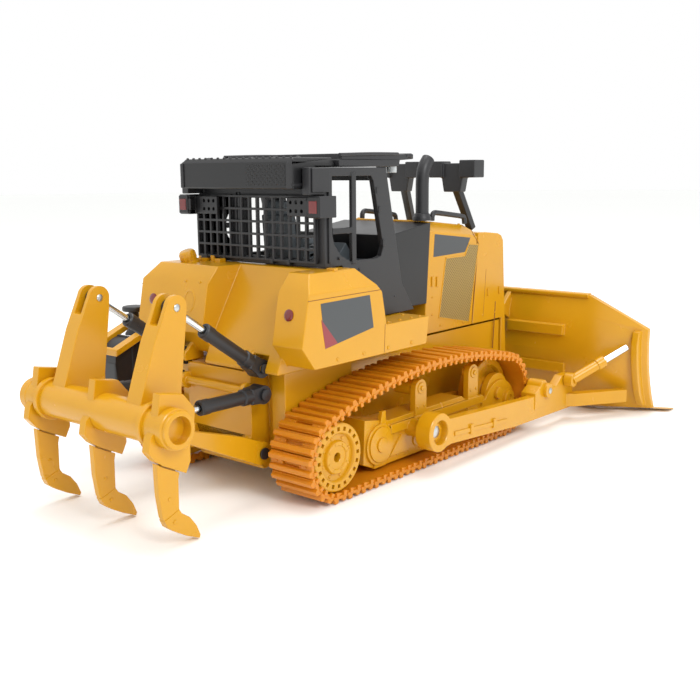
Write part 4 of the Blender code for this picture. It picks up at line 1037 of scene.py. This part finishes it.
def hood_fittings():
    """Latches, hinges and bolt heads on both sides of the hood and nose."""
    parts = []
    for side in (-1, 1):
        y = side * HOOD_HALF
        for x, z in ((100.6, 76.0), (104.6, 75.6)):
            parts.append(block(x - 0.6, x + 0.6, y - side * 0.3, y + side * 0.7, z - 2.4, z + 2.4, 0.25))
        for x, z in ((150.4, 66.0), (161.5, 66.0)):
            parts.append(block(x - 0.5, x + 0.5, y - side * 0.3, y + side * 0.6, z - 2.0, z + 2.0, 0.2))
        parts.append(studs(
            [(101.0, y, 60.0), (101.0, y, 68.5), (108.0, y, 54.0), (128.0, y, 53.0), (158.0, y, 54.5),
                (146.0, y, 54.5)],
            (0, side, 0), 0.55, 0.35,
        ))
        screws = [(x, side * 19.5, z) for x, z in ((100.0, 104.9), (131.0, 101.6))]
        parts.append(studs(screws, (0, 0, 1), 0.7, 0.4))
    return joined(*parts)


def hood_lines():
    """The gap between hood and nose, the door's edges and the nose's slots."""
    parts = []
    for side in (-1, 1):
        y = side * HOOD_HALF
        parts.append(seam([(134.2, 98.6), (141.0, 91.6), (136.0, 52.0)], "y", y, 0.35))
        parts.append(seam([(148.6, 78.0), (146.6, 55.0)], "y", y, 0.22))
        parts.append(seam([(158.2, 60.0), (156.4, 36.0)], "y", y, 0.7, 0.06))
    return joined(*parts)


def grille_bars():
    """The upright ribs over the louvred grille."""
    parts = []
    lean = 5.0 / 61.0

    def front(z):
        return 165.0 + (92 - z) * lean

    for y in (-20.6, -3.0, 3.0, 20.6):
        rail = [(front(88) + 1.0, 88), (front(25) + 1.0, 25), (front(25) + 2.0, 25), (front(88) + 2.0, 88)]
        parts.append(rounded(extrude(rail, "y", y - 0.9, y + 0.9), 0.2))
    return joined(*parts)


class BulldozerHood(bpy.types.Operator):
    """Rounds the hood and nose, and adds the screens, panels, latches and parting lines"""

    bl_idname = "bulldozer.hood"
    bl_label = "Hood and nose"

    def execute(self, context):
        softened("hood", "moulded_abs_yellow", 0.5)
        softened("radiator_guard", "moulded_abs_yellow", 0.5)
        softened("radiator_grille", "moulded_abs_black", 0.2)
        softened("engine_bay_panel", "moulded_abs_black_painted_shade", 0.4)
        piece("grille_bars", grille_bars(), "moulded_abs_black", "chassis")
        piece("hood_fittings", hood_fittings(), "moulded_abs_yellow", "chassis")
        piece("hood_lines", hood_lines(), "moulded_abs_seam", "chassis")
        for side, sign in SIDES:
            piece("hood_panel_" + side, hood_decal(sign), "printed_ink_charcoal", "chassis")
            piece("hood_screen_" + side, hood_screen(sign), "moulded_screen_olive", "chassis")
            piece("hood_screen_edge_" + side, screen_frame(sign), "moulded_abs_yellow", "chassis")
        return {"FINISHED"}


# ------------------------------------------------------------------ cab


def frame_ring(x, y0, y1, z0, z1, thick, corner, depth):
    """A raised frame round a window, with rounded corners."""
    def outline(inset):
        r = max(corner - inset, 0.3)
        low_y, high_y, low_z, high_z = y0 + inset, y1 - inset, z0 + inset, z1 - inset
        return (
            arc(high_y - r, high_z - r, r, 0, 90, 6) + arc(low_y + r, high_z - r, r, 90, 180, 6)
            + arc(low_y + r, low_z + r, r, 180, 270, 6) + arc(high_y - r, low_z + r, r, 270, 360, 6)
        )
    outer, inner = outline(0.0), outline(thick)
    rings = [
        [(x, y, z) for y, z in outer], [(x - depth, y, z) for y, z in outer],
        [(x - depth, y, z) for y, z in inner], [(x, y, z) for y, z in inner],
    ]
    ring = loft([*rings, rings[0]], caps=False)
    bmesh.ops.remove_doubles(ring, verts=ring.verts, dist=0.001)
    return rounded(closed(ring), 0.2)


def cab_details():
    """Window frames, post ribs, hinges and hooks round the cab."""
    wall = 11.0
    parts = [
        frame_ring(wall + 0.2, -33.6, 9.2, 91.6, 119.0, 1.6, 3.0, 0.9),
        frame_ring(wall + 0.2, 14.8, 36.4, 91.6, 119.0, 1.2, 2.0, 0.8),
        block(wall - 0.5, wall + 0.5, 10.6, 11.6, 91.0, 119.6, 0.2),
        block(wall - 0.5, wall + 0.5, 12.6, 13.4, 91.0, 119.6, 0.2),
    ]
    for y in (-9.0, -18.5, 20.0, 31.0):
        parts.append(block(wall - 2.2, wall + 0.4, y - 0.9, y + 0.9, 90.8, 93.0, 0.25))
    for side in (-1, 1):
        y = side * 36.8
        parts.append(block(13.0, 14.6, y - side * 0.3, y + side * 0.5, 92.0, 127.0, 0.2))
        parts.append(studs([(20.0, side * 36.6, 93.5), (34.0, side * 35.4, 88.0), (60.0, side * 33.6, 74.0)],
            (0, side, 0), 0.6, 0.4))
        for z in (98.0, 112.0, 120.0):
            parts.append(block(52.0 - (z - 90) * 0.2, 54.0 - (z - 90) * 0.2, side * 33.0, side * 34.9,
                z - 1.4, z + 1.4, 0.25))
        parts.append(block(38.0, 40.0, side * 35.0, side * 36.4, 82.0, 84.0, 0.25))
    parts.append(block(3.2, 13.2, -37.9, -37.2, 120.0, 129.2, 0.3))
    return joined(*parts)


def roof_details():
    """The rail round the roof, its studs and the row along the roof box's rear edge."""
    parts = []
    studs_at = [(-0.3, -30.0 + 3.75 * k, 133.1) for k in range(17)]
    parts.append(studs(studs_at, (0, 0, 1), 0.6, 0.8))
    parts.append(studs([(8.0, y, 133.3) for y in (-26, -13, 0, 13, 26)], (0, 0, 1), 1.0, 0.7))
    parts.append(block(-2.9, -1.9, -32.4, -29.6, 121.5, 131.6, 0.3))
    parts.append(block(-2.75, -1.9, 30.6, 32.4, 121.5, 131.6, 0.3))
    parts.append(block(-2.6, 20.0, -32.8, -32.3, 122.4, 123.4, 0.15))
    for side in (-1, 1):
        parts.append(pipe([(24.0, side * 33.6, 134.4), (44.0, side * 33.8, 134.9),
            (62.5, side * 33.4, 135.0)], 0.8, 12))
    parts.append(pipe([(70.0, -31.8, 134.4), (73.8, -30.0, 134.5), (74.6, 0.0, 134.6), (73.8, 30.0, 134.5),
        (70.0, 31.8, 134.4)], 1.0, 12))
    return joined(*parts)


def seat_details():
    """Piped panels on the seat, and two control levers."""
    parts = [
        block(25.0, 42.6, -6.4, 6.4, 94.6, 96.4, 0.7),
        block(26.0, 27.6, -6.0, 6.0, 96.0, 108.4, 0.6),
    ]
    for side in (-1, 1):
        lever = [(41.0, side * 10.5, 99.6), (42.0, side * 10.5, 102.5), (42.6, side * 10.3, 105.4)]
        parts.append(pipe(lever, 0.5, 10))
        parts.append(spun([(-1.2, 0), (-1.1, 0.9), (0, 1.3), (1.1, 0.9), (1.2, 0)],
            (42.7, side * 10.3, 106.4), (0.2, 0, 1), 20))
    return joined(*parts)


class BulldozerCab(bpy.types.Operator):
    """Rounds the cab and roof, and adds the guard bars, frames, studs and seat"""

    bl_idname = "bulldozer.cab"
    bl_label = "Cab"

    def execute(self, context):
        softened("cab_frame", "moulded_abs_black", 0.35)
        softened("rear_window_guard", "moulded_abs_black", 0.16)
        softened("roof_panel", "moulded_abs_black", 0.4)
        softened("roof_aircon_box", "moulded_abs_black_painted_shade", 0.5)
        softened("operator_seat", "moulded_abs_grey", 0.6)
        softened("control_console", "moulded_abs_grey", 0.5)
        piece("cab_fittings", cab_details(), "moulded_abs_black", "chassis")
        piece("roof_fittings", roof_details(), "moulded_abs_black", "chassis")
        piece("seat_panels", seat_details(), "moulded_abs_grey", "chassis")
        grille = tilted_quad([(-2.2, -28.6, 122.6), (-2.2, -7.0, 122.6), (-2.2, -7.0, 131.0),
            (-2.2, -28.6, 131.0)], (-1, 0, 0))
        piece("roof_box_grille", grille, "moulded_grille_black", "chassis")
        lamp = joined(
            rod((64.5, -28.5, 131.0), (64.5, -28.5, 127.2), 2.3, 0.3),
            rod((64.5, 28.5, 131.0), (64.5, 28.5, 127.2), 2.3, 0.3),
        )
        piece("roof_work_lamps", lamp, "acrylic_lens_clear", "chassis")
        return {"FINISHED"}


# ------------------------------------------------------------------ lamps, stack and rails


def exhaust_pipe():
    """The stack, curving forward at its open tip, on a stepped collar."""
    x, y = 98.5, -20.5
    path = [(x, y, 105.6), (x, y, 114), (x, y, 123), (x + 0.8, y, 128), (x + 2.6, y, 131),
        (x + 4.6, y, 133.2)]
    tube = pipe(path, 3.1, 32, 8)
    collar = spun([(-0.5, 0), (-0.5, 4.4), (1.0, 4.4), (1.5, 3.9), (2.6, 3.6), (3.0, 3.1), (3.0, 0)],
        (x, y, 105.4), (0, 0, 1), 40)
    return joined(tube, collar)


def lamp_glasses():
    """The clear fronts of the four work lamps."""
    parts = []
    for y0, y1, x, z0, z1 in ((-11.3, -3.7, 135.5, 124.8, 132.2), (-30.2, -21.8, 136.5, 124.8, 132.7)):
        parts.append(block(x - 0.3, x + 0.5, y0 + 0.7, y1 - 0.7, z0 + 0.7, z1 - 0.7, 0.25))
    return joined(*parts)


def rail(points):
    return pipe(points, 1.25, 16, 6)


class BulldozerLamps(bpy.types.Operator):
    """Rounds the masts and rear lamps, and adds the exhaust, the rails and the lenses"""

    bl_idname = "bulldozer.lamps"
    bl_label = "Lamps, exhaust and rails"

    def execute(self, context):
        for side, _ in SIDES:
            softened("lamp_mast_" + side, "moulded_abs_black", 0.5)
            softened("rear_lamp_" + side, "moulded_abs_black", 0.3)
        pair("work_lamp_glass", lamp_glasses(), "acrylic_lens_clear", "chassis")
        bezel = joined(
            block(2.9, 3.8, -40.8, -35.0, 110.6, 118.2, 0.3),
            block(3.2, 6.0, -35.2, -33.4, 112.0, 117.0, 0.3),
        )
        pair("rear_lamp_bezel", bezel, "moulded_abs_black_painted_shade", "chassis")
        lens = block(2.5, 3.2, -40.0, -36.0, 112.0, 116.8, 0.35)
        pair("rear_lamp_lens", lens, "acrylic_lens_red", "chassis")
        piece("exhaust_pipe", exhaust_pipe(), "moulded_abs_black", "chassis", ("exhaust_stack",), 50)
        y = -21.5
        path = [(105.2, y, 104.6), (105.4, y, 106.8), (106.8, y, 108.1), (110.0, y, 108.0), (120, y, 106.9),
                (130.5, y, 105.6), (132.6, y, 104.6), (133.2, y, 102.0)]
        pair("hood_grab_rail", rail(path), "moulded_abs_black", "chassis", "hood_rail", 50)
        return {"FINISHED"}


class BulldozerReservoir(bpy.types.Operator):
    """Rounds the left-hand reservoir, its guard and breather"""

    bl_idname = "bulldozer.reservoir"
    bl_label = "Reservoir"

    def execute(self, context):
        outline = [(-24, 34), *arc(-20.5, 45.5, 3.5, 180, 160, 2), *arc(-14, 46, 10, 165, 60, 16), (0, 54),
            (0, 34)]
        tank = rounded(extrude(outline, "y", 55.5, 65.5), 1.2, 40, 4)
        bands = [
            rounded(extrude([(x, 33.9), (x + 1.6, 33.9), (x + 1.6, 56.6), (x, 56.6)], "y", 55.2, 65.8), 0.3)
            for x in (-15.0, -6.0)
        ]
        piece("reservoir", joined(tank, *bands), "moulded_abs_black", "chassis", ("side_tank",), 50)
        softened("tank_guard", "moulded_abs_yellow", 0.4)
        x, y = -9.0, 60.5
        profile = [
            (0.0, 0.0), (0.0, 4.3), (0.8, 4.2), (2.4, 2.9), (3.4, 2.3), (9.8, 2.2), (10.4, 3.0), (10.6, 4.8),
            (11.0, 5.1), (12.2, 5.1), (12.7, 4.8), (12.9, 3.8), (12.9, 0.0),
        ]
        breather = spun(profile, (x, y, 56.6), (0, 0, 1), 48)
        piece("breather_cap", breather, "moulded_abs_black", "chassis", ("tank_breather",))
        return {"FINISHED"}


# ------------------------------------------------------------------ blade


def push_arm():
    """The flat arm with its bored trunnion boss, strut bracket, sleeve, cleats and squared front end."""
    x, z = LIFT_PIVOT
    outer, inner = ARM_OUTER, ARM_INNER
    plate = [
        *arc(x, z, 8.2, 94, 268, 24), (64, 11), (120, 7), (176, 6), (176, 21), (172, 24.5), (164, 24.5),
        (158, 20),
        (134, 18.6), (63, 22.5),
    ]
    arm = cut(extrude(plate, "y", outer, inner), pin(x, z, 5.6, outer - 2, outer + 2.6, 0.0, 48))
    arm = rounded(arm, 0.4)
    boss = spun(
        [(-7.0, 0.0), (-7.0, 8.1), (-6.7, 8.4), (0.3, 8.4), (0.6, 8.1), (0.6, 5.6), (0.3, 5.3), (-2.9, 5.2),
            (-2.9, 0.0)],
        (x, outer, z), (0, -1, 0), 64,
    )
    bracket = [(136, 12), (150, 12), (150, 22), *arc(144.6, 22.2, 3.4, 10, 170, 10), (136, 20)]
    barrel = rounded(extrude(bracket, "y", outer - 0.5, -54.4), 0.35)
    ear = pin(171.0, 21.4, 3.2, outer - 1.4, outer, 0.3, 36)
    toe = [(166, inner), (170, outer), (176, outer), (198.8, -78), (197.5, -82.5), (172, -66)]
    foot = rounded(extrude(toe, "z", 7.2, 14.0), 0.4)
    cleat = [(66, 14.2), (110, 11.2), (110, 13.0), (66, 16.2)]
    rib = rounded(extrude(cleat, "y", outer - 0.6, outer + 0.5), 0.25)
    cleats = [
        block(cx, cx + 2.4, outer - 1.0, outer + 0.5, cz, cz + 4.4, 0.25)
        for cx, cz in ((78, 12.4), (97, 11.0))
    ]
    sleeve = pin(147.0, 20.0, 3.7, -64.5, -54.6, 0.4, 40)
    return joined(arm, boss, barrel, foot, rib, sleeve, ear, *cleats)


def blade_details():
    """Top lip, stiffening bars and bolt heads on the blade's back."""
    parts = []
    lip = [(192.4, 61.4), (190.6, 61.4), (190.0, 62.2), (190.0, 63.2), (190.6, 63.8), (194.6, 63.8),
        (194.6, 61.4)]
    parts.append(rounded(extrude(lip, "y", -61.6, 61.6), 0.25))
    for side in (-1, 1):
        for z in (6.0, 12.0):
            parts.append(block(194.5, 197.5, side * 18, side * 58, z, z + 1.6, 0.3))
        bolts = [(189.6, side * 18.0, 43.6), (188.6, side * 48.0, 43.6)]
        bolts += [(190.0, side * y, 22.8) for y in (18.0, 48.0)]
        parts.append(studs(bolts, (-1, 0, 0), 0.9, 0.7))
    return joined(*parts)


def edge_bolts():
    """The row of bolt heads along the cutting edge."""
    places = [(201.8, y, 1.5) for y in range(-54, 55, 12)]
    return studs(places, (0.35, 0, 0.94), 1.0, 0.6)


def strut():
    """The brace's sleeve with its gland ring and eye."""
    start, end = Vector(BRACE_START), Vector(BRACE_END)
    length = (end - start).length
    profile = [
        (0.0, 0.0), (0.0, 2.2), (0.3, 2.6), (length * 0.44, 2.6), (length * 0.45, 3.1), (length * 0.57, 3.1),
        (length * 0.58, 2.8), (length * 0.58, 0.0),
    ]
    eye = pin(start.x, start.z, 3.6, -67.0, -62.3, 0.4, 40)
    return joined(spun(profile, start, end - start, 32), eye)


class BulldozerBlade(bpy.types.Operator):
    """Builds the blade, its push arms and its struts"""

    bl_idname = "bulldozer.blade"
    bl_label = "Blade and push arms"

    def execute(self, context):
        softened("blade_moldboard", "moulded_abs_yellow", 0.4)
        softened("cutting_edge", "moulded_abs_yellow", 0.3)
        piece("blade_fittings", blade_details(), "moulded_abs_yellow", "blade")
        piece("cutting_edge_bolts", edge_bolts(), "moulded_abs_yellow", "blade")
        pair("push_arm_beam", push_arm(), "moulded_abs_yellow", "blade", "push_arm")
        pair("strut_sleeve", strut(), "moulded_abs_yellow", "blade", "blade_brace")
        start, end = Vector(BRACE_START), Vector(BRACE_END)
        pair("strut_rod", rod(start.lerp(end, 0.56), end, 1.8, 0.3), "chrome_plated_steel", "blade",
            "brace_rod")
        x, z = LIFT_PIVOT
        screw = studs([(x, ARM_OUTER + 2.9, z)], (0, -1, 0), 3.2, 1.2)
        pair("trunnion_screw", screw, "zinc_plated_steel", "blade")
        screws = studs([(147.0, -64.5, 20.0), (171.0, -63.3, 21.4), (184.0, -71.5, 9.8)], (0, -1, 0), 1.5,
            0.7)
        pair("bracket_screws", screws, "zinc_plated_steel", "blade")
        return {"FINISHED"}


# ------------------------------------------------------------------ ripper


def shank_holder():
    return [
        (-74.6, 55.4), (-64.6, 53.6), (-59.6, 47.6), (-60.6, 39), (-62.4, 35), (-62.4, 29.6), (-64.6, 25.4),
        (-74.6, 30.4), (-77.6, 32.6), (-80.4, 36), (-79.4, 41), (-76.6, 44),
    ]


def ripper_tube():
    """The cross tube with stepped rings and open bores at both ends."""
    half = BEAM_HALF
    profile = [
        (-half + 4, 0.0), (-half + 4, 4.8), (-half + 0.2, 4.8), (-half, 5.0), (-half, 6.2),
        (-half + 0.3, 6.6),
        (-half + 1.6, 6.6), (-half + 1.7, 6.9), (-half + 2.0, 7.2), (-half + 4.6, 7.2), (-half + 4.8, 7.0),
        (half - 4.8, 7.0), (half - 4.6, 7.2), (half - 2.0, 7.2), (half - 1.7, 6.9), (half - 1.6, 6.6),
        (half - 0.3, 6.6),
        (half, 6.2), (half, 5.0), (half - 0.2, 4.8), (half - 4, 4.8), (half - 4, 0.0),
    ]
    return spun(profile, (BEAM[0], 0, BEAM[1]), (0, 1, 0), 72)


def ripper_tower(side):
    """A tapered tower whose fork holds a cylinder's eye."""
    y = side * TOWER_Y
    outline = [(-75, 46), (-55.5, 44), (-55.3, 52), (-51.8, 77), *arc(*TOWER_PIN, 4.5, 0, 165, 20),
        (-66.5, 70)]
    tower = extrude(outline, "y", y - 4, y + 4)
    tower = cut(tower, block(-72, -45, y - 2.1, y + 2.1, 75.6, 92))
    return rounded(tower, 0.35)


def drag_arm(side):
    """A thin arm from the tube forward to the chassis pivot."""
    px, pz = RIPPER_PIVOT
    outline = [
        (-69, 40.5), (-69, 37.6), (-52, 30.5), (px - 2, pz - 4.6), *arc(px, pz, 4.6, 270, 450, 20),
        (-26, 27.6),
        (-52, 35.6),
    ]
    arm = extrude(outline, "y", *sorted((side * 21.0, side * 25.6)))
    arm = cut(arm, pin(px, pz, 2.0, side * 19, side * 28, 0.1, 32))
    return rounded(arm, 0.35)


def ripper_beam():
    """The ripper's frame: tube, shank holders, towers, drag arms and cylinder lugs."""
    parts = [ripper_tube()]
    for y in (-SHANK_Y, 0.0, SHANK_Y):
        holder = extrude(shank_holder(), "y", y - HOLDER_RIGHT, y + HOLDER_LEFT)
        holder = cut(holder, block(-75.0, -66.2, y - 1.3, y + 0.7, 20, 37.0))
        parts.append(rounded(holder, 0.3))
    for side in (-1, 1):
        parts.append(ripper_tower(side))
        parts.append(drag_arm(side))
        lug = [(-66, 38), (-66, 48), *arc(*LOWER_PIN, 3.4, 90, -90, 16)]
        for low, high in ((-4.4, -2.8), (2.8, 4.4)):
            parts.append(rounded(extrude(lug, "y", side * LIFT_Y + low, side * LIFT_Y + high), 0.25))
        collar = [
            (-1.2, 0.0), (-1.2, 7.9), (-0.9, 8.2), (0.9, 8.2), (1.2, 7.9), (1.2, 0.0),
        ]
        parts.append(spun(collar, (BEAM[0], side * 31.0, BEAM[1]), (0, 1, 0), 64))
    return joined(*parts)


def ripper_shank(y):
    """A curved shank with a separate tooth cap that points forward."""
    outline = [
        (-77.0, 31.6), (-76.6, 20), (-75.4, 12), (-73.6, 8.6), (-70.6, 6.2), (-65.6, 3.2), (-59.6, 0.3),
        (-59.4, 1.4),
        (-61.0, 5.2), (-63.8, 9.0), (-67.4, 11.4), (-68.2, 13.6), (-68.0, 24), (-67.4, 26.4), (-74.7, 30.0),
    ]
    shank = rounded(extrude(outline, "y", y - SHANK_RIGHT, y + SHANK_LEFT), 0.35)
    tang = block(-74.6, -68.4, y - 1.0, y + 0.4, 24, 36.6)
    cap = [(-75.0, 10.9), (-73.8, 8.2), (-70.7, 5.8), (-65.7, 2.9), (-59.8, 0.2), (-59.3, 1.4), (-60.9, 5.4),
        (-63.7, 9.2), (-67.2, 11.6), (-68.4, 13.4)]
    tooth = rounded(extrude(cap, "y", y - 2.5, y + 0.9), 0.35)
    pins = [pin(-70.6, 9.4, 0.8, y - 2.8, y + 1.2, 0.2, 20),
        pin(-72.3, 18.0, 0.7, y - 2.45, y + 0.85, 0.2, 20)]
    return joined(shank, tang, tooth, *pins)


def tower_caps():
    """Bright pin heads on both faces of each tower."""
    parts = []
    for side in (-1, 1):
        for face in (-1, 1):
            y = side * TOWER_Y + face * 4.0
            parts.append(studs([(TOWER_PIN[0], y, TOWER_PIN[1])], (0, face, 0), 1.35, 0.6))
    return joined(*parts)


def lug_caps():
    parts = []
    for side in (-1, 1):
        for face in (-1, 1):
            y = side * LIFT_Y + face * 4.4
            parts.append(studs([(LOWER_PIN[0], y, LOWER_PIN[1])], (0, face, 0), 1.2, 0.5))
    return joined(*parts)


class BulldozerRipper(bpy.types.Operator):
    """Builds the ripper's frame and its three shanks"""

    bl_idname = "bulldozer.ripper"
    bl_label = "Ripper"

    def execute(self, context):
        piece("ripper_frame", ripper_beam(), "moulded_abs_yellow", "ripper", ("ripper_beam",))
        for name, y in (("right", -SHANK_Y), ("middle", 0.0), ("left", SHANK_Y)):
            node = "ripper_shank_" + name
            piece("ripper_tooth_" + name, ripper_shank(y), "moulded_abs_yellow", "ripper", (node,))
        piece("tower_pin_heads", tower_caps(), "zinc_plated_steel", "ripper")
        piece("lug_pin_heads", lug_caps(), "moulded_abs_black", "ripper")
        return {"FINISHED"}


# ------------------------------------------------------------------ cylinders


def barrel_shape(base, tip, y, length):
    """A barrel with its gland ring, base collar and the square-shouldered eye at its foot."""
    low = Vector((base[0], y, base[1]))
    high = Vector((tip[0], y, tip[1]))
    along = (high - low).normalized()
    profile = [
        (5.2, 0.0), (5.2, 3.0), (5.5, 3.3), (9.2, 3.3), (9.5, 3.0), (9.7, 2.7), (length - 4.4, 2.7),
        (length - 4.2, 2.95),
        (length - 0.4, 2.95), (length, 2.6), (length, 1.7), (length - 0.6, 1.55), (length - 0.6, 0.0),
    ]
    body = spun(profile, low, along, 40)
    turn = atan2(along.z, along.x)
    head = []
    for px, pz in [(6.4, -3.1), (6.4, 3.1), *arc(0, 0, 3.7, 60, 300, 20)]:
        head.append((base[0] + px * cos(turn) - pz * sin(turn), base[1] + px * sin(turn) + pz * cos(turn)))
    eye = rounded(extrude(head, "y", y - 3.0, y + 3.0), 0.6, 32, 3)
    return joined(body, eye), along


def rod_shapes(base, tip, y, start):
    """The rod, and the eye that it carries."""
    low = Vector((base[0], y, base[1]))
    high = Vector((tip[0], y, tip[1]))
    along = (high - low).normalized()
    bright = rod(low + along * start, high - along * 2.2, 1.3, 0.2, 32)
    eye = pin(*tip, 2.6, y - 1.7, y + 1.7, 0.4, 40)
    neck = rod(high - along * 3.6, high - along * 1.2, 1.9, 0.3, 32)
    return bright, joined(eye, neck)


def lift_shapes():
    """The blade's lift barrel and rod on the right-hand side."""
    lug = Vector((LUG[0], -LIFT_SIDE, LUG[1]))
    centre = Vector((TRUNNION[0], -LIFT_SIDE, TRUNNION[1]))
    along = (centre - lug).normalized()
    profile = [
        (-16.0, 0.0), (-16.0, 2.7), (-15.6, 3.0), (-12.6, 3.0), (-12.4, 2.8), (16.6, 2.8), (17.2, 2.5),
        (17.4, 1.8), (17.4, 0.0),
    ]
    barrel = spun(profile, centre, along, 40)
    sleeve = pin(*TRUNNION, 3.2, -LIFT_SIDE - 3.3, -LIFT_SIDE + 3.8, 0.35, 40)
    bright = rod(lug + along * 1.5, lug + along * 36.4, 1.6, 0.2)
    eye = pin(*LUG, 3.0, -LIFT_SIDE - 2.2, -LIFT_SIDE + 2.2, 0.4, 40)
    return joined(barrel, sleeve), bright, eye


class BulldozerCylinders(bpy.types.Operator):
    """Builds the ripper's and the blade's cylinders and their rods"""

    bl_idname = "bulldozer.cylinders"
    bl_label = "Cylinders"

    def execute(self, context):
        for name, base, tip, y, length in (
            ("ripper_tilt", TILT_EYE, TOWER_PIN, -TOWER_Y, 33.0),
            ("ripper_lift", LIFT_EYE, LOWER_PIN, -LIFT_Y, 31.0),
        ):
            barrel, _ = barrel_shape(base, tip, y, length)
            bright, eye = rod_shapes(base, tip, y, 17.0)
            pair(name + "_tube", barrel, "moulded_abs_black", name + "_barrel_", name + "_barrel")
            pair(name + "_chrome", bright, "chrome_plated_steel", name + "_rod_", name + "_rod")
            pair(name + "_eye", eye, "moulded_abs_black", name + "_rod_")
        barrel, bright, eye = lift_shapes()
        pair("blade_lift_tube", barrel, "moulded_abs_black", "lift_barrel_", "lift_barrel")
        pair("blade_lift_chrome", bright, "chrome_plated_steel", "lift_rod_", "lift_rod")
        pair("blade_lift_eye", eye, "moulded_abs_black", "lift_rod_")
        return {"FINISHED"}


# ------------------------------------------------------------------ studio


def camera_matrix(place, turn, dip, roll):
    """Where the camera stands, from its heading, how far it looks down and its roll, in degrees."""
    turn, dip, roll = radians(turn), radians(dip), radians(roll)
    view = Vector((cos(turn) * cos(dip), sin(turn) * cos(dip), -sin(dip)))
    level = Vector((sin(turn), -cos(turn), 0.0))
    upright = level.cross(view)
    right = level * cos(roll) + upright * sin(roll)
    up = upright * cos(roll) - level * sin(roll)
    columns = (right, up, -view)
    return Matrix([[*(column[i] for column in columns), place[i]] for i in range(3)] + [[0, 0, 0, 1]])


def area_light(name, place, aim, size, power, colour="FFFFFF"):
    light = bpy.data.lights.new(name, "AREA")
    light.shape = "DISK"
    light.size = size
    light.energy = power
    light.color = linear(colour)[:3]
    made = bpy.data.objects.new(name, light)
    bpy.context.scene.collection.objects.link(made)
    made.location = place
    made.rotation_euler = (Vector(aim) - Vector(place)).to_track_quat("-Z", "Y").to_euler()
    return made


class BulldozerStudio(bpy.types.Operator):
    """Sets up the floor, the soft lights, the white surround and the camera"""

    bl_idname = "bulldozer.studio"
    bl_label = "Studio"

    def execute(self, context):
        scene = context.scene
        scene.view_settings.view_transform = "Standard"
        reach = sizes().floor_radius
        mesh = bmesh.new()
        bmesh.ops.create_circle(mesh, cap_ends=True, segments=96, radius=reach)
        data = bpy.data.meshes.new("studio_floor")
        mesh.to_mesh(data)
        mesh.free()
        data.materials.append(MATERIALS["painted_floor"])
        floor = bpy.data.objects.new("studio_floor", data)
        scene.collection.objects.link(floor)
        floor.location.z = -0.0002
        world = bpy.data.worlds.new("studio")
        scene.world = world
        world.use_nodes = True
        surround = world.node_tree.nodes["Background"]
        surround.inputs["Color"].default_value = (1, 1, 1, 1)
        surround.inputs["Strength"].default_value = 1.0
        area_light("key", (-0.35, -0.9, 0.75), (0, 0, 0.06), 0.4, 5.0)
        area_light("top", (0.1, 0.1, 1.1), (0, 0, 0.05), 0.6, 5.0)
        camera = bpy.data.cameras.new("camera")
        camera.lens = sizes().lens
        camera.sensor_width = 36.0
        camera.clip_start = 0.01
        made = bpy.data.objects.new("camera", camera)
        scene.collection.objects.link(made)
        made.matrix_world = camera_matrix(CAMERA_PLACE, CAMERA_HEADING, CAMERA_DIP, CAMERA_ROLL)
        scene.camera = made
        return {"FINISHED"}


# ------------------------------------------------------------------ panel and registering


BUILDERS = (
    BulldozerChassis, BulldozerTracks, BulldozerWheels, BulldozerTrackFrames, BulldozerRearBody,
    BulldozerHood,
    BulldozerCab, BulldozerLamps, BulldozerReservoir, BulldozerBlade, BulldozerRipper, BulldozerCylinders,
    BulldozerStudio,
)


class BulldozerPanel(bpy.types.Panel):
    """Lists the sizes, the colours and every builder"""

    bl_idname = "VIEW3D_PT_bulldozer"
    bl_label = "Toy bulldozer"
    bl_space_type = "VIEW_3D"
    bl_region_type = "UI"
    bl_category = "Bulldozer"

    def draw(self, context):
        for settings in (context.scene.bulldozer_sizes, context.scene.bulldozer_colours):
            box = self.layout.box()
            for name in settings.__annotations__:
                box.prop(settings, name)
        for builder in BUILDERS:
            self.layout.operator(builder.bl_idname)


CLASSES = (BulldozerSizes, BulldozerColours, *BUILDERS, BulldozerPanel)


def register():
    for made in CLASSES:
        bpy.utils.register_class(made)
    bpy.types.Scene.bulldozer_sizes = bpy.props.PointerProperty(type=BulldozerSizes)
    bpy.types.Scene.bulldozer_colours = bpy.props.PointerProperty(type=BulldozerColours)


def unregister():
    del bpy.types.Scene.bulldozer_colours
    del bpy.types.Scene.bulldozer_sizes
    for made in reversed(CLASSES):
        bpy.utils.unregister_class(made)


def main():
    register()
    make_materials()
    for builder in BUILDERS:
        name = builder.bl_idname.split(".")[1]
        if getattr(bpy.ops.bulldozer, name)() != {"FINISHED"}:
            raise RuntimeError(builder.bl_label + " wasn't built")


if __name__ == "__main__":
    main()
